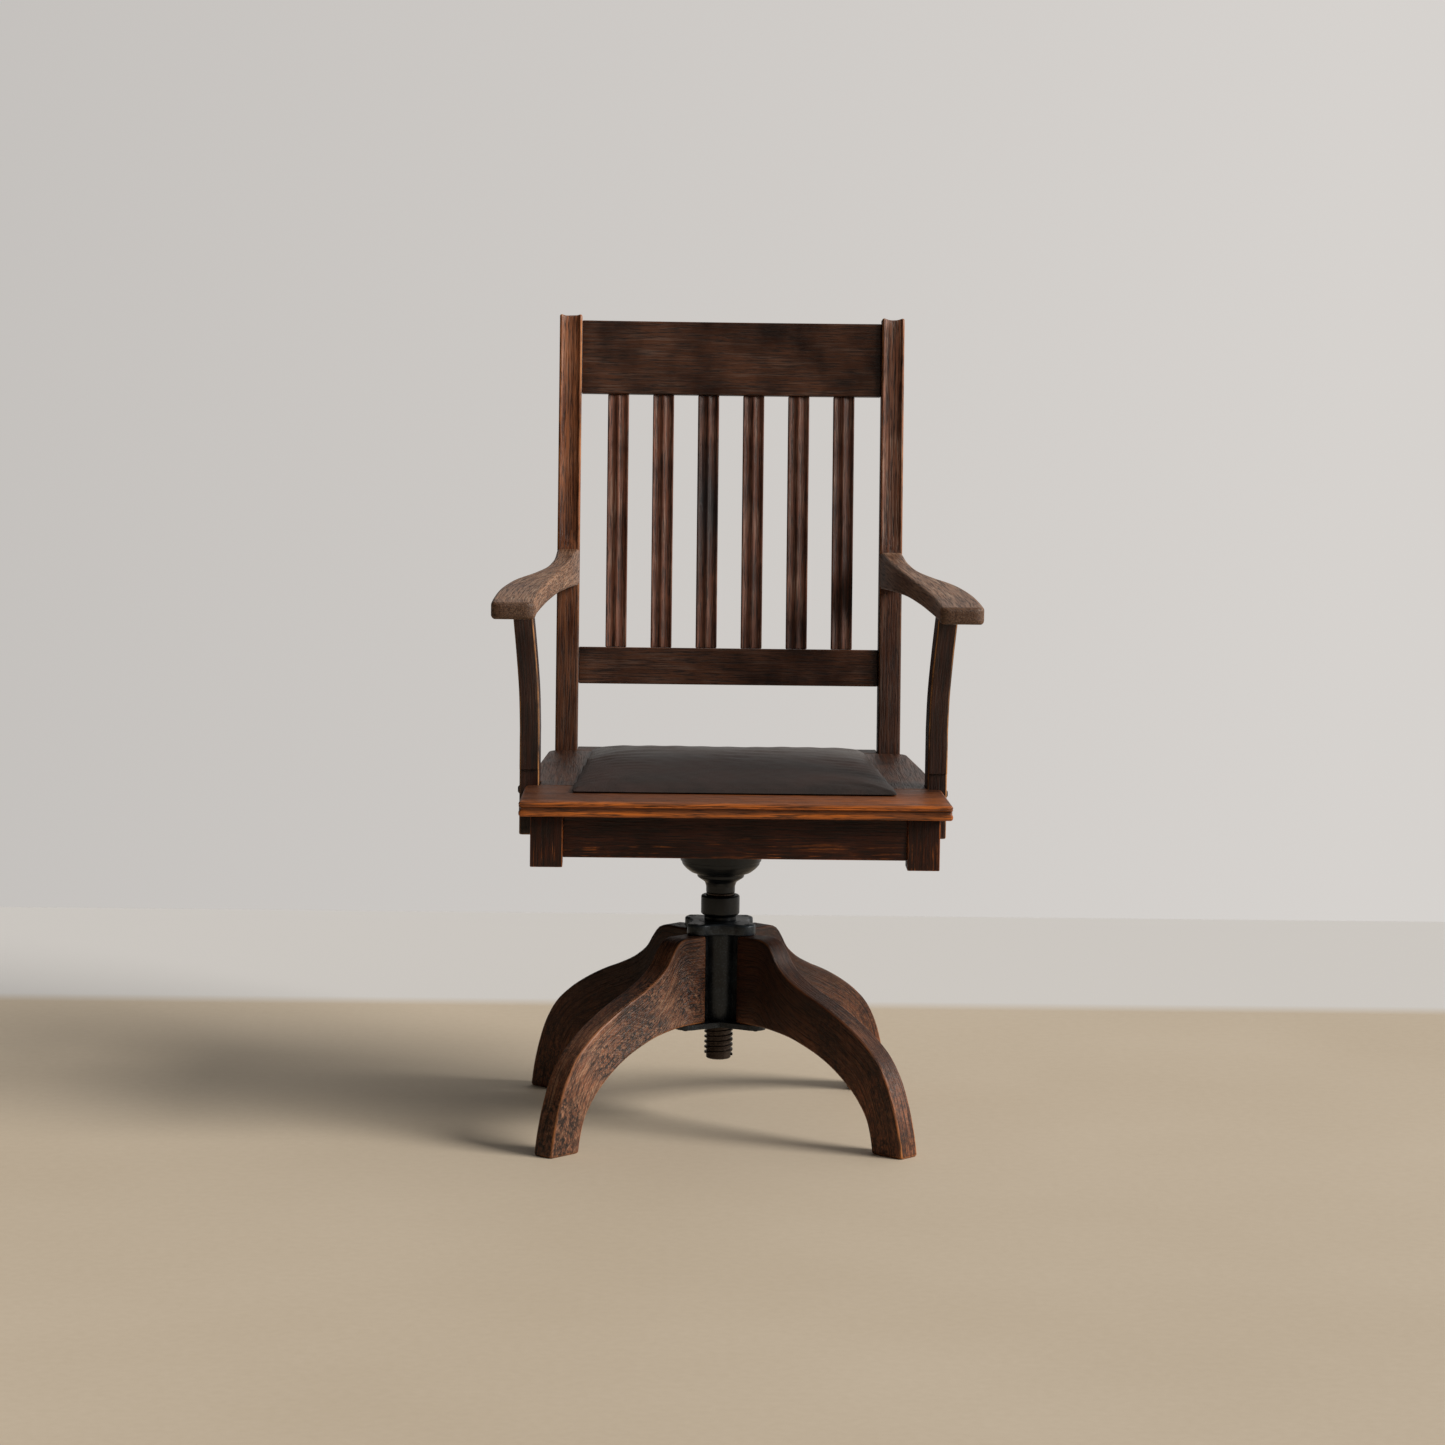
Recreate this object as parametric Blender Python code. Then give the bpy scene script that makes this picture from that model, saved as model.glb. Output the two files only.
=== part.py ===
"""Wooden swivel armchair on a four-legged screw base.

Metres, +Z up, the chair faces -Y. The origin is on the floor under the middle of the
chair. Four curved oak legs are held between two cast plates round an iron hub. A
screw spindle slides up through the hub as the nut on it is turned, and the seat iron
turns on the spindle's top journal, carrying the whole wooden seat.
"""
import math

import bmesh
import bpy
from mathutils import Matrix, Vector

GAP = 0.0003                    # clearance between neighbouring pieces

# --- Swivel axis and base ---------------------------------------------------
AXIS = Vector((-0.0112, -0.0294, 0.0))   # the iron sits a little off the seat's centre
BASE_YAW = math.radians(1.75)   # how far the base is turned from the seat at rest
LEG_THICKNESS = 0.0297
LEG_START = 0.0403              # radius of the leg's inner end
LEG_TOP = 0.2335
FOOT_RADIUS = 0.3060
LEG_BOLT_RADIUS = 0.0458        # top bolts, from the swivel axis
LEG_SCREW_RADIUS = 0.0600       # lower screws, from the swivel axis

HUB_RADIUS = 0.0240
HUB_BOTTOM = 0.1185
HUB_TOP = 0.2475
HUB_BORE = 0.0178
PLATE_BOTTOM = LEG_TOP + GAP
LOBE_RADIUS = 0.0146
TOP_LOBE_CENTRE = 0.0380
LOW_LOBE_CENTRE = 0.0570
LOW_PLATE = (0.1205, 0.1268)    # bottom and top of the lower plate
LOW_LOBE_WAIST = 0.0330
TOP_LOBE_WAIST = 0.0335
WEB_THICKNESS = 0.0100
WEB_START = 0.0150              # radius inside the hub's wall where a web begins

# --- Screw, nut and seat iron -----------------------------------------------
PITCH = 0.00635                 # four threads to the inch
CREST = 0.0174
ROOT = 0.0150
SPINDLE_BOTTOM = 0.0770
SHOULDER = 0.2788               # top of the threaded part
JOURNAL_RADIUS = 0.0108
JOURNAL_TOP = 0.3420
FLAT = ROOT + 0.0004            # distance of the planed flat from the spindle's axis
GUIDE_HEIGHT = 0.2000           # guide screw, in the hub's rear wall
GUIDE_SHANK = 0.0095
WASHER_RADIUS = 0.0172
NUT_BOTTOM = HUB_TOP + GAP
NUT_TOP = 0.2785
IRON_BOTTOM = 0.2812
ARM_BAR = (0.3735, 0.3845)      # bottom and top of the iron's four arms
ARM_BAR_REACH = 0.1500
ARM_BAR_WIDTH = 0.0280
IRON_SCREW_RADIUS = 0.1340
BELL_TOP = 0.3800

# --- Seat ---------------------------------------------------------------------
SEAT_TOP = 0.4253
SEAT_BOTTOM = 0.4078
SEAT_FRONT = -0.2843
SEAT_REAR = 0.2253
FRONT_HALF_WIDTH = 0.2514
FRONT_RAIL_BACK = -0.1400
APRON_BOTTOM = 0.3579
APRON_THICKNESS = 0.0195
STUB_BOTTOM = 0.3465
STUB_X = (0.2003, 0.2380)
STUB_Y = (-0.2664, -0.2290)
REAR_APRON_Y = (0.1950, 0.2145)
STUB_PROUD = 0.0030             # the stubs stand in front of the front apron by this
BATTEN_BOTTOM = ARM_BAR[1] + GAP
BATTEN_HALF_LENGTH = 0.1960
BATTEN_HALF_WIDTH = 0.0280
PANEL_HALF_WIDTH = 0.1650       # the loose panel under the pad
PAD_FRONT_HALF = 0.1950
PAD_REAR_HALF = 0.1720
PAD_Y = (-0.2094, 0.1800)
PAD_LEVELS = ((0.0, 0.0), (0.0, 0.0020), (0.006, 0.0060), (0.030, 0.0105),
              (0.075, 0.0140))  # inset from the outline and height above the seat

# --- Back ---------------------------------------------------------------------
RAKE = math.radians(7.32)       # lean of the back from upright
POST_X = (0.1890, 0.2172)
POST_FRONT = 0.1864             # front face where it meets the seat
POST_DEPTH = (0.0345, 0.0280)   # at the seat and at the top
POST_LENGTH = 0.5487            # from the seat top, along the post
RAIL_HALF_WIDTH = POST_X[0] - GAP
CREST_RAIL = (0.4500, 0.5418)   # distances up the post
LOWER_RAIL = (0.0845, 0.1305)
RAIL_SETBACK = 0.0060
RAIL_THICKNESS = 0.0175
RAIL_BOW = 0.0042
SLAT_PITCH = 0.0569
SLAT_WIDTH = 0.0265
SLAT_THICKNESS = 0.0110

# --- Arms ---------------------------------------------------------------------
ARM_FRONT = -0.2462
ARM_BACK = 0.2184
ARM_TOP = (0.6523, 0.6769)      # at the front and at the post
SUPPORT_Y = (-0.1396, -0.1036)
SUPPORT_X = (0.2300, 0.2533)
SUPPORT_BOTTOM = 0.3650
SUPPORT_SHOULDER = 0.4430
SHOULDER_STEP = 0.0030
SIDE_TAPER = 0.0411             # sideways narrowing per metre towards the back
SUPPORT_SCREW_Z = 0.4175
ARM_SCREW_S = 0.2330            # distance up the post
ARM_OUTER = [(-0.2462, 0.2800), (-0.2445, 0.2842), (-0.2400, 0.2864), (-0.1954, 0.2844),
             (-0.1084, 0.2754), (-0.0502, 0.2623), (-0.0048, 0.2453), (0.0449, 0.2305),
             (0.1156, 0.2210), (ARM_BACK, POST_X[1])]
ARM_INNER = [(-0.2462, 0.2405), (-0.2445, 0.2365), (-0.2400, 0.2345), (-0.2151, 0.2340),
             (-0.1004, 0.2243), (-0.0039, 0.2120), (0.0858, 0.2000), (ARM_BACK, POST_X[0])]
ARM_THICKNESS = [(-0.2462, 0.0200), (-0.1700, 0.0222), (-0.0744, 0.0236), (0.0160, 0.0262),
                 (0.0906, 0.0320), (ARM_BACK, 0.0460)]
ARM_STATIONS = [-0.2462, -0.2445, -0.2400, -0.2150, -0.1700, -0.1084, -0.0744, -0.0300,
                -0.0048, 0.0160, 0.0449, 0.0858, 0.1156, 0.1650, ARM_BACK]

# --- Fasteners: head radius, head height, shank radius, shank length ----------
LEG_BOLT = (0.0050, 0.0012, 0.0022, 0.0450)
LEG_SCREW = (0.0045, 0.0022, 0.0020, 0.0300)
GUIDE_SCREW = (0.0050, 0.0050, 0.0030, GUIDE_SHANK)
IRON_SCREW = (0.0050, 0.0030, 0.0022, 0.0260)
SUPPORT_SCREW = (0.0048, 0.0024, 0.0021, 0.0420)
ARM_SCREW = (0.0048, 0.0024, 0.0022, 0.0600)
CORNERS = ("rear_right", "rear_left", "front_left", "front_right")

DARK_OAK = ((0.055, 0.026, 0.014), 0.42, 0.0)
WORN_OAK = ((0.160, 0.065, 0.024), 0.45, 0.0)
LEG_OAK = ((0.095, 0.042, 0.022), 0.50, 0.0)
LEATHER = ((0.022, 0.015, 0.012), 0.38, 0.0)
CAST_IRON = ((0.012, 0.013, 0.014), 0.40, 0.9)
STEEL = ((0.050, 0.045, 0.042), 0.35, 1.0)


# --- Scene helpers ------------------------------------------------------------
def clear_scene():
    for item in list(bpy.data.objects):
        bpy.data.objects.remove(item, do_unlink=True)


def add_empty(name, location):
    """A frame that moving pieces hang from, standing on their axis."""
    empty = bpy.data.objects.new(name, None)
    empty.location = location
    bpy.context.collection.objects.link(empty)
    return empty


def finish(name, look):
    colour, roughness, metallic = look
    material = bpy.data.materials.new(name + "_finish")
    material.use_nodes = True
    shader = material.node_tree.nodes["Principled BSDF"]
    shader.inputs["Base Color"].default_value = (*colour, 1.0)
    shader.inputs["Roughness"].default_value = roughness
    shader.inputs["Metallic"].default_value = metallic
    material.diffuse_color = (*colour, 1.0)
    return material


def solid(name, points, faces, look=None, parent=None, smooth=False):
    """One closed body from points and faces, turned so its faces point out."""
    mesh = bpy.data.meshes.new(name)
    mesh.from_pydata([tuple(point) for point in points], [], faces)
    builder = bmesh.new()
    builder.from_mesh(mesh)
    bmesh.ops.recalc_face_normals(builder, faces=builder.faces)
    builder.to_mesh(mesh)
    builder.free()
    if smooth:
        mesh.shade_smooth()
        mesh.set_sharp_from_angle(angle=math.radians(35))
    item = bpy.data.objects.new(name, mesh)
    bpy.context.collection.objects.link(item)
    if look is not None:
        mesh.materials.append(finish(name, look))
    if parent is not None:
        item.parent = parent
    return item


def hide_helper(item):
    item.hide_render = True
    item.display_type = 'WIRE'


def combine(item, other, operation, solver='EXACT'):
    """A live Boolean against a hidden helper solid."""
    hide_helper(other)
    modifier = item.modifiers.new(operation.lower() + "_" + other.name, 'BOOLEAN')
    modifier.operation = operation
    modifier.solver = solver
    modifier.object = other


# --- Shape helpers ------------------------------------------------------------
def skin(loops):
    """Faces between equal closed loops, with both ends capped."""
    count = len(loops[0])
    points = [point for loop in loops for point in loop]
    faces = []
    for row in range(len(loops) - 1):
        low = row * count
        high = low + count
        for i in range(count):
            j = (i + 1) % count
            faces.append((low + i, low + j, high + j, high + i))
    faces.append(tuple(range(count)))
    faces.append(tuple(range(len(points) - count, len(points))))
    return points, faces


def loft(name, loops, look=None, parent=None, smooth=False):
    points, faces = skin(loops)
    return solid(name, points, faces, look, parent, smooth)


def prism(name, outline, low, high, look=None, parent=None):
    """A plan outline of (x, y) points carried from height low to high."""
    loops = [[(x, y, z) for x, y in outline] for z in (low, high)]
    return loft(name, loops, look, parent)


def block(name, xs, ys, zs, look=None, parent=None):
    outline = [(xs[0], ys[0]), (xs[1], ys[0]), (xs[1], ys[1]), (xs[0], ys[1])]
    return prism(name, outline, zs[0], zs[1], look, parent)


def ring(name, profile, segments, look=None, parent=None):
    """A closed (radius, height) profile turned about Z, with a hole down the middle."""
    points = []
    faces = []
    rows = len(profile)
    for step in range(segments):
        angle = math.tau * step / segments
        for radius, height in profile:
            points.append((radius * math.cos(angle), radius * math.sin(angle), height))
    for step in range(segments):
        here = step * rows
        there = (step + 1) % segments * rows
        for i in range(rows):
            j = (i + 1) % rows
            faces.append((here + i, there + i, there + j, here + j))
    return solid(name, points, faces, look, parent, smooth=True)


def turned(name, profile, segments, look=None, parent=None):
    """An open (radius, height) profile turned about Z, capped flat at both ends."""
    loops = []
    for radius, height in profile:
        loops.append([(radius * math.cos(math.tau * i / segments),
                       radius * math.sin(math.tau * i / segments), height)
                      for i in range(segments)])
    return loft(name, loops, look, parent, smooth=True)


def arc(centre, radius, start, end, steps):
    """Points on a circular arc, angles in degrees, both ends included."""
    found = []
    for i in range(steps + 1):
        angle = math.radians(start + (end - start) * i / steps)
        found.append((centre[0] + radius * math.cos(angle),
                      centre[1] + radius * math.sin(angle)))
    return found


def smooth_curve(points, steps):
    """A Catmull-Rom curve through the points, sampled steps times in each span."""
    ends = [points[0], *points, points[-1]]
    found = []
    for i in range(1, len(ends) - 2):
        before, start, stop, after = ends[i - 1:i + 3]
        for step in range(steps):
            t = step / steps
            found.append(tuple(
                0.5 * (2 * start[k] + (stop[k] - before[k]) * t
                       + (2 * before[k] - 5 * start[k] + 4 * stop[k] - after[k]) * t * t
                       + (3 * start[k] - before[k] - 3 * stop[k] + after[k]) * t ** 3)
                for k in range(len(start))))
    found.append(tuple(points[-1]))
    return found


def value_at(table, where):
    """Straight-line reading of a table of (position, value) rows in rising order."""
    for (low, first), (high, last) in zip(table, table[1:]):
        if where <= high:
            return first + (last - first) * (where - low) / (high - low)
    return table[-1][1]


# --- Fasteners ----------------------------------------------------------------
def screw_profile(head_radius, head_height, shank_radius, shank_length):
    """A low domed head above Z = 0 and a shank below it."""
    return [(shank_radius, -shank_length), (shank_radius, 0.0), (head_radius, 0.0),
            (head_radius, 0.4 * head_height), (0.6 * head_radius, head_height)]


def fastener(name, size, matrix, parent, drilled):
    """A screw, and the hole that it needs through each of the drilled pieces."""
    head_radius, head_height, shank_radius, shank_length = size
    screw = turned(name, screw_profile(*size), 10, STEEL, parent)
    screw.matrix_local = matrix
    hole = turned(name + "_hole", [(shank_radius + GAP, -shank_length - GAP),
                                   (shank_radius + GAP, head_height)], 10, None, parent)
    hole.matrix_local = matrix
    for piece in drilled:
        combine(piece, hole, 'DIFFERENCE')
    return screw


# --- Base ---------------------------------------------------------------------
def lobed_outline(lobe_centre, waist):
    """A four-lobed plate: a round lobe over each leg and a hollow side between lobes."""
    outline = []
    for k in range(4):
        turn = math.radians(45 + 90 * k)
        half = [(waist * math.cos(math.radians(-45)), waist * math.sin(math.radians(-45))),
                *arc((lobe_centre, 0.0), LOBE_RADIUS, -90, 90, 8)]
        for x, y in half:
            outline.append((x * math.cos(turn) - y * math.sin(turn),
                            x * math.sin(turn) + y * math.cos(turn)))
    return outline


def leg_outline():
    """Side view of a leg, as (radius, height), from its inner end out to the foot."""
    top = smooth_curve([(0.0880, 0.2300), (0.0975, 0.2195), (0.1070, 0.2055),
                        (0.1250, 0.1910), (0.1500, 0.1785), (0.1800, 0.1665),
                        (0.2100, 0.1520), (0.2400, 0.1335), (0.2620, 0.1150),
                        (0.2800, 0.0890), (0.2920, 0.0600), (0.3010, 0.0280),
                        (FOOT_RADIUS, 0.0)], 2)
    under = smooth_curve([(0.0790, 0.1272), (0.1050, 0.1245), (0.1280, 0.1203),
                          (0.1500, 0.1135), (0.1700, 0.1060), (0.2033, 0.0875),
                          (0.2310, 0.0645), (0.2494, 0.0388), (0.2560, 0.0173),
                          (0.2590, 0.0)], 2)
    return [(LEG_START, LEG_TOP), (0.0800, LEG_TOP), *top,
            *reversed(under), (LEG_START, LOW_PLATE[1] + GAP)]


def make_leg(name, turn, parent):
    half = LEG_THICKNESS / 2
    loops = [[(r, y, z) for r, z in leg_outline()] for y in (-half, half)]
    leg = loft(name, loops, LEG_OAK, parent)
    leg.rotation_euler.z = turn
    return leg


def make_base():
    base = add_empty("base_frame", AXIS)
    base.rotation_euler.z = BASE_YAW
    hub = turned("hub", [(HUB_RADIUS - 0.001, HUB_BOTTOM), (HUB_RADIUS, 0.150),
                         (HUB_RADIUS + 0.001, HUB_TOP)], 32, CAST_IRON, base)
    plate = prism("hub_plate_form", lobed_outline(TOP_LOBE_CENTRE, TOP_LOBE_WAIST),
                  PLATE_BOTTOM, HUB_TOP - GAP, None, base)
    combine(hub, plate, 'UNION')
    low_plate = prism("lower_leg_plate", lobed_outline(LOW_LOBE_CENTRE, LOW_LOBE_WAIST),
                      *LOW_PLATE, CAST_IRON, base)
    sleeve = turned("lower_plate_hole", [(HUB_RADIUS + GAP, 0.10), (HUB_RADIUS + GAP, 0.14)],
                    32, None, base)
    combine(low_plate, sleeve, 'DIFFERENCE', 'MANIFOLD')
    for k, side in enumerate(CORNERS):
        turn = math.radians(45 + 90 * k)
        spin = Matrix.Rotation(turn, 4, 'Z')
        leg = make_leg("leg_" + side, turn, base)
        web = block("hub_web_form_" + side, (WEB_START, LEG_START - GAP),
                    (-WEB_THICKNESS / 2, WEB_THICKNESS / 2),
                    (LOW_PLATE[1] + GAP, PLATE_BOTTOM + 0.004), None, base)
        web.rotation_euler.z = turn
        combine(hub, web, 'UNION')
        top = spin @ Matrix.Translation((LEG_BOLT_RADIUS, 0, HUB_TOP))
        fastener("leg_bolt_" + side, LEG_BOLT, top, base, (hub, leg))
        low = (spin @ Matrix.Translation((LEG_SCREW_RADIUS, 0, LOW_PLATE[0] - GAP))
               @ Matrix.Rotation(math.pi, 4, 'X'))
        fastener("leg_screw_" + side, LEG_SCREW, low, base, (low_plate, leg))
    bore = turned("hub_bore", [(HUB_BORE, 0.10), (HUB_BORE, 0.26)], 32, None, base)
    combine(hub, bore, 'DIFFERENCE')
    rear = Matrix.Translation((0, HUB_RADIUS + 0.0012, GUIDE_HEIGHT)) @ Matrix.Rotation(
        -math.pi / 2, 4, 'X')
    fastener("guide_screw", GUIDE_SCREW, rear, base, (hub,))
    return base


# --- Screw --------------------------------------------------------------------
def make_spindle(parent, segments=14):
    """A square thread on a core, with the plain journal above it.

    Every column of four profile points climbs the helix: root, crest, crest, root. The
    thread ends square in its first and last column, and the core is closed by flat
    discs. The crests are planed off along the back for the guide screw.
    """
    turns = int((SHOULDER - SPINDLE_BOTTOM - 0.004) / PITCH) - 1
    lift = SPINDLE_BOTTOM + 0.002
    rows = ((ROOT, 0.0), (CREST, 0.16), (CREST, 0.54), (ROOT, 0.70))
    points = []
    for i in range(segments * turns + 1):
        angle = math.tau * (i % segments) / segments
        for radius, part in rows:
            height = lift + PITCH * (i / segments + part)
            points.append((radius * math.cos(angle),
                           min(radius * math.sin(angle), FLAT), height))

    def at(i, row):
        return 4 * i + row

    faces = []
    last = segments * turns
    for i in range(last):
        for row in range(3):
            faces.append((at(i, row), at(i + 1, row), at(i + 1, row + 1), at(i, row + 1)))
    for i in range(last - segments):
        faces.append((at(i, 3), at(i + 1, 3), at(i + 1 + segments, 0), at(i + segments, 0)))
    faces.append(tuple(at(0, row) for row in range(4)))
    faces.append(tuple(at(last, row) for row in range(4)))

    def circle(radius, height):
        start = len(points)
        for i in range(segments):
            angle = math.tau * i / segments
            points.append((radius * math.cos(angle), radius * math.sin(angle), height))
        return [start + i for i in range(segments)]

    low = circle(ROOT, SPINDLE_BOTTOM)
    for i in range(segments - 1):
        faces.append((low[i], low[i + 1], at(i + 1, 0), at(i, 0)))
    faces.append((low[-1], low[0], at(0, 0), at(0, 3), at(segments, 0),
                  at(segments - 1, 0)))
    faces.append(tuple(low))
    first = last - segments
    levels = [circle(ROOT, SHOULDER), circle(JOURNAL_RADIUS, SHOULDER),
              circle(JOURNAL_RADIUS, JOURNAL_TOP)]
    top = levels[0]
    for i in range(1, segments):
        j = (i + 1) % segments
        faces.append((at(first + i, 3), at(first + i + 1, 3), top[j], top[i]))
    faces.append((at(first, 3), at(first + 1, 3), top[1], top[0], at(last, 3), at(last, 0)))
    for lower, upper in zip(levels, levels[1:]):
        for i in range(segments):
            j = (i + 1) % segments
            faces.append((lower[i], lower[j], upper[j], upper[i]))
    faces.append(tuple(levels[-1]))
    return solid("screw_spindle", points, faces, STEEL, parent, smooth=True)


def make_column():
    """The nut on the hub, the spindle through it and the washer on its shoulder."""
    nut_frame = add_empty("nut_frame", AXIS)
    ring("adjusting_nut", [(HUB_BORE, NUT_BOTTOM), (0.0193, NUT_BOTTOM), (0.0193, 0.2530),
                           (0.0234, 0.2560), (0.0234, 0.2770), (0.0220, NUT_TOP),
                           (HUB_BORE, NUT_TOP)], 28, CAST_IRON, nut_frame)
    spindle_frame = add_empty("spindle_frame", AXIS)
    spindle_frame.rotation_euler.z = BASE_YAW
    make_spindle(spindle_frame)
    inner = JOURNAL_RADIUS + GAP
    ring("thrust_washer", [(inner, SHOULDER + GAP), (WASHER_RADIUS, SHOULDER + GAP),
                           (WASHER_RADIUS, IRON_BOTTOM - GAP), (inner, IRON_BOTTOM - GAP)],
         24, STEEL, spindle_frame)


# --- Seat iron and the frame under the seat -----------------------------------
def make_seat_iron(frame):
    """The bell-shaped socket with four flat arms that screw up into the battens."""
    bore = JOURNAL_RADIUS + GAP
    iron = ring("seat_iron", [(bore, IRON_BOTTOM), (0.0175, IRON_BOTTOM), (0.0175, 0.2890),
                              (0.0194, 0.2947), (0.0285, 0.3007), (0.0285, 0.3042),
                              (0.0365, 0.3067), (0.0427, 0.3115), (0.0470, 0.3164),
                              (0.0476, 0.3205), (0.0490, 0.3206), (0.0540, 0.3740),
                              (0.0540, BELL_TOP), (bore, BELL_TOP)], 32, CAST_IRON, frame)
    half = ARM_BAR_WIDTH / 2
    reach = ARM_BAR_REACH
    cross = [(half, -reach), (half, -half), (reach, -half), (reach, half), (half, half),
             (half, reach), (-half, reach), (-half, half), (-reach, half), (-reach, -half),
             (-half, -half), (-half, -reach)]
    arms = prism("iron_arms_form", cross, *ARM_BAR, None, frame)
    arms.rotation_euler.z = math.radians(45)
    combine(iron, arms, 'UNION')
    room = turned("iron_bore", [(bore, ARM_BAR[0] - 0.004), (bore, ARM_BAR[1] + 0.004)], 32,
                  None, frame)
    combine(iron, room, 'DIFFERENCE')
    return iron


def place_in_seat(item):
    """Seat pieces are drawn about the seat's centre, and hang from the swivel axis."""
    item.location = -AXIS


def make_underframe(frame, iron):
    battens = []
    for name, side in (("front", -1), ("rear", 1)):
        centre = AXIS.y + side * IRON_SCREW_RADIUS * math.sqrt(0.5)
        battens.append(block("batten_" + name, (-BATTEN_HALF_LENGTH, BATTEN_HALF_LENGTH),
                             (centre - BATTEN_HALF_WIDTH, centre + BATTEN_HALF_WIDTH),
                             (BATTEN_BOTTOM, SEAT_BOTTOM - GAP), DARK_OAK, frame))
        place_in_seat(battens[-1])
    for k, side in enumerate(CORNERS):
        spin = Matrix.Rotation(math.radians(45 + 90 * k), 4, 'Z')
        place = (spin @ Matrix.Translation((IRON_SCREW_RADIUS, 0, ARM_BAR[0] - GAP))
                 @ Matrix.Rotation(math.pi, 4, 'X'))
        batten = battens[0] if side.startswith("front") else battens[1]
        fastener("iron_screw_" + side, IRON_SCREW, place, frame, (iron, batten))
    apron = (APRON_BOTTOM, SEAT_BOTTOM - GAP)
    front = block("apron_front", (-STUB_X[0] + GAP, STUB_X[0] - GAP),
                  (STUB_Y[0] + STUB_PROUD, STUB_Y[0] + STUB_PROUD + APRON_THICKNESS), apron,
                  DARK_OAK, frame)
    rear = block("apron_rear", (-RAIL_HALF_WIDTH, RAIL_HALF_WIDTH), REAR_APRON_Y, apron,
                 DARK_OAK, frame)
    place_in_seat(front)
    place_in_seat(rear)
    for name, side in (("left", -1), ("right", 1)):
        outer = [side_line(SUPPORT_X[0] - 2 * GAP, y) for y in (STUB_Y[1] + GAP,
                                                                POST_FRONT - GAP)]
        outline = [(side * outer[0], STUB_Y[1] + GAP), (side * outer[1], POST_FRONT - GAP),
                   (side * (outer[1] - APRON_THICKNESS), POST_FRONT - GAP),
                   (side * (outer[0] - APRON_THICKNESS), STUB_Y[1] + GAP)]
        place_in_seat(prism("apron_" + name, outline, *apron, DARK_OAK, frame))
        stub = block("front_stub_" + name, (side * STUB_X[0], side * STUB_X[1]), STUB_Y,
                     (STUB_BOTTOM, SEAT_BOTTOM - GAP), DARK_OAK, frame)
        place_in_seat(stub)


def side_line(x, y):
    """A line along the chair's side, at x beside the arm support, closing in rearwards."""
    return x - SIDE_TAPER * (y - sum(SUPPORT_Y) / 2)


# --- Seat boards and pad ------------------------------------------------------
def make_seat(frame):
    boards = (SEAT_BOTTOM, SEAT_TOP)
    corner = arc((0.2372, FRONT_RAIL_BACK - 0.0100), 0.0100, 0, 90, 5)
    right = [(FRONT_HALF_WIDTH - 0.002, SEAT_FRONT), (FRONT_HALF_WIDTH, SEAT_FRONT + 0.002),
             *corner]
    left = [(-x, y) for x, y in reversed(right)]
    place_in_seat(prism("seat_rail_front", right + left, *boards, WORN_OAK, frame))
    inner = PANEL_HALF_WIDTH
    rails = []
    for name, side in (("left", -1), ("right", 1)):
        start = FRONT_RAIL_BACK + GAP
        back = SUPPORT_Y[1] + GAP
        notch = SUPPORT_X[0] - GAP
        outline = [(inner, start), (side_line(notch, start), start),
                   (side_line(notch, back), back), (0.2440, back), (0.2350, 0.0400),
                   (0.2250, 0.1720), (0.2226, 0.1800), (0.2180, 0.1850),
                   (0.2150, POST_FRONT - GAP), (inner, POST_FRONT - GAP)]
        rail = prism("seat_rail_" + name, [(side * x, y) for x, y in outline], *boards,
                     DARK_OAK, frame)
        place_in_seat(rail)
        rails.append(rail)
    place_in_seat(block("seat_rail_rear", (-RAIL_HALF_WIDTH, RAIL_HALF_WIDTH),
                        (POST_FRONT, SEAT_REAR), boards, DARK_OAK, frame))
    place_in_seat(block("seat_panel", (-inner + GAP, inner - GAP),
                        (FRONT_RAIL_BACK + GAP, POST_FRONT - GAP), boards, DARK_OAK,
                        frame))
    loops = []
    for inset, height in PAD_LEVELS:
        front = PAD_FRONT_HALF - inset
        back = PAD_REAR_HALF - inset
        ys = (PAD_Y[0] + inset, PAD_Y[1] - inset)
        z = SEAT_TOP + GAP + height
        loops.append([(-front, ys[0], z), (front, ys[0], z), (back, ys[1], z),
                      (-back, ys[1], z)])
    place_in_seat(loft("leather_cushion", loops, LEATHER, frame))
    return rails


# --- Back ---------------------------------------------------------------------
def back_point(x, depth, up):
    """A point in the leaning back: depth behind the post fronts, up along the posts."""
    return (x, POST_FRONT + depth * math.cos(RAKE) + up * math.sin(RAKE),
            SEAT_TOP + up * math.cos(RAKE) - depth * math.sin(RAKE))


def bow(x):
    """How far back the rails stand at x: most in the middle."""
    return RAIL_SETBACK + RAIL_BOW * (1 - (x / RAIL_HALF_WIDTH) ** 2)


def make_back(frame):
    for name, side in (("left", -1), ("right", 1)):
        top_front = back_point(0, 0, POST_LENGTH)
        top_back = back_point(0, POST_DEPTH[1], POST_LENGTH)
        seat_back = back_point(0, POST_DEPTH[0], 0)
        outline = [(POST_FRONT, STUB_BOTTOM), (POST_FRONT, SEAT_TOP), top_front[1:],
                   top_back[1:], seat_back[1:], (seat_back[1], STUB_BOTTOM)]
        loops = [[(side * x, y, z) for y, z in outline] for x in POST_X]
        place_in_seat(loft("back_post_" + name, loops, DARK_OAK, frame))
    for name, (low, high) in (("crest_rail", CREST_RAIL), ("lower_rail", LOWER_RAIL)):
        loops = []
        for step in range(9):
            x = RAIL_HALF_WIDTH * (step / 4 - 1)
            front = bow(x)
            back = front + RAIL_THICKNESS
            loops.append([back_point(x, front, low), back_point(x, back, low),
                          back_point(x, back, high), back_point(x, front, high)])
        place_in_seat(loft(name, loops, DARK_OAK, frame))
    for k in range(6):
        make_slat("slat_%d" % (k + 1), SLAT_PITCH * (k - 2.5), frame)


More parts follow.
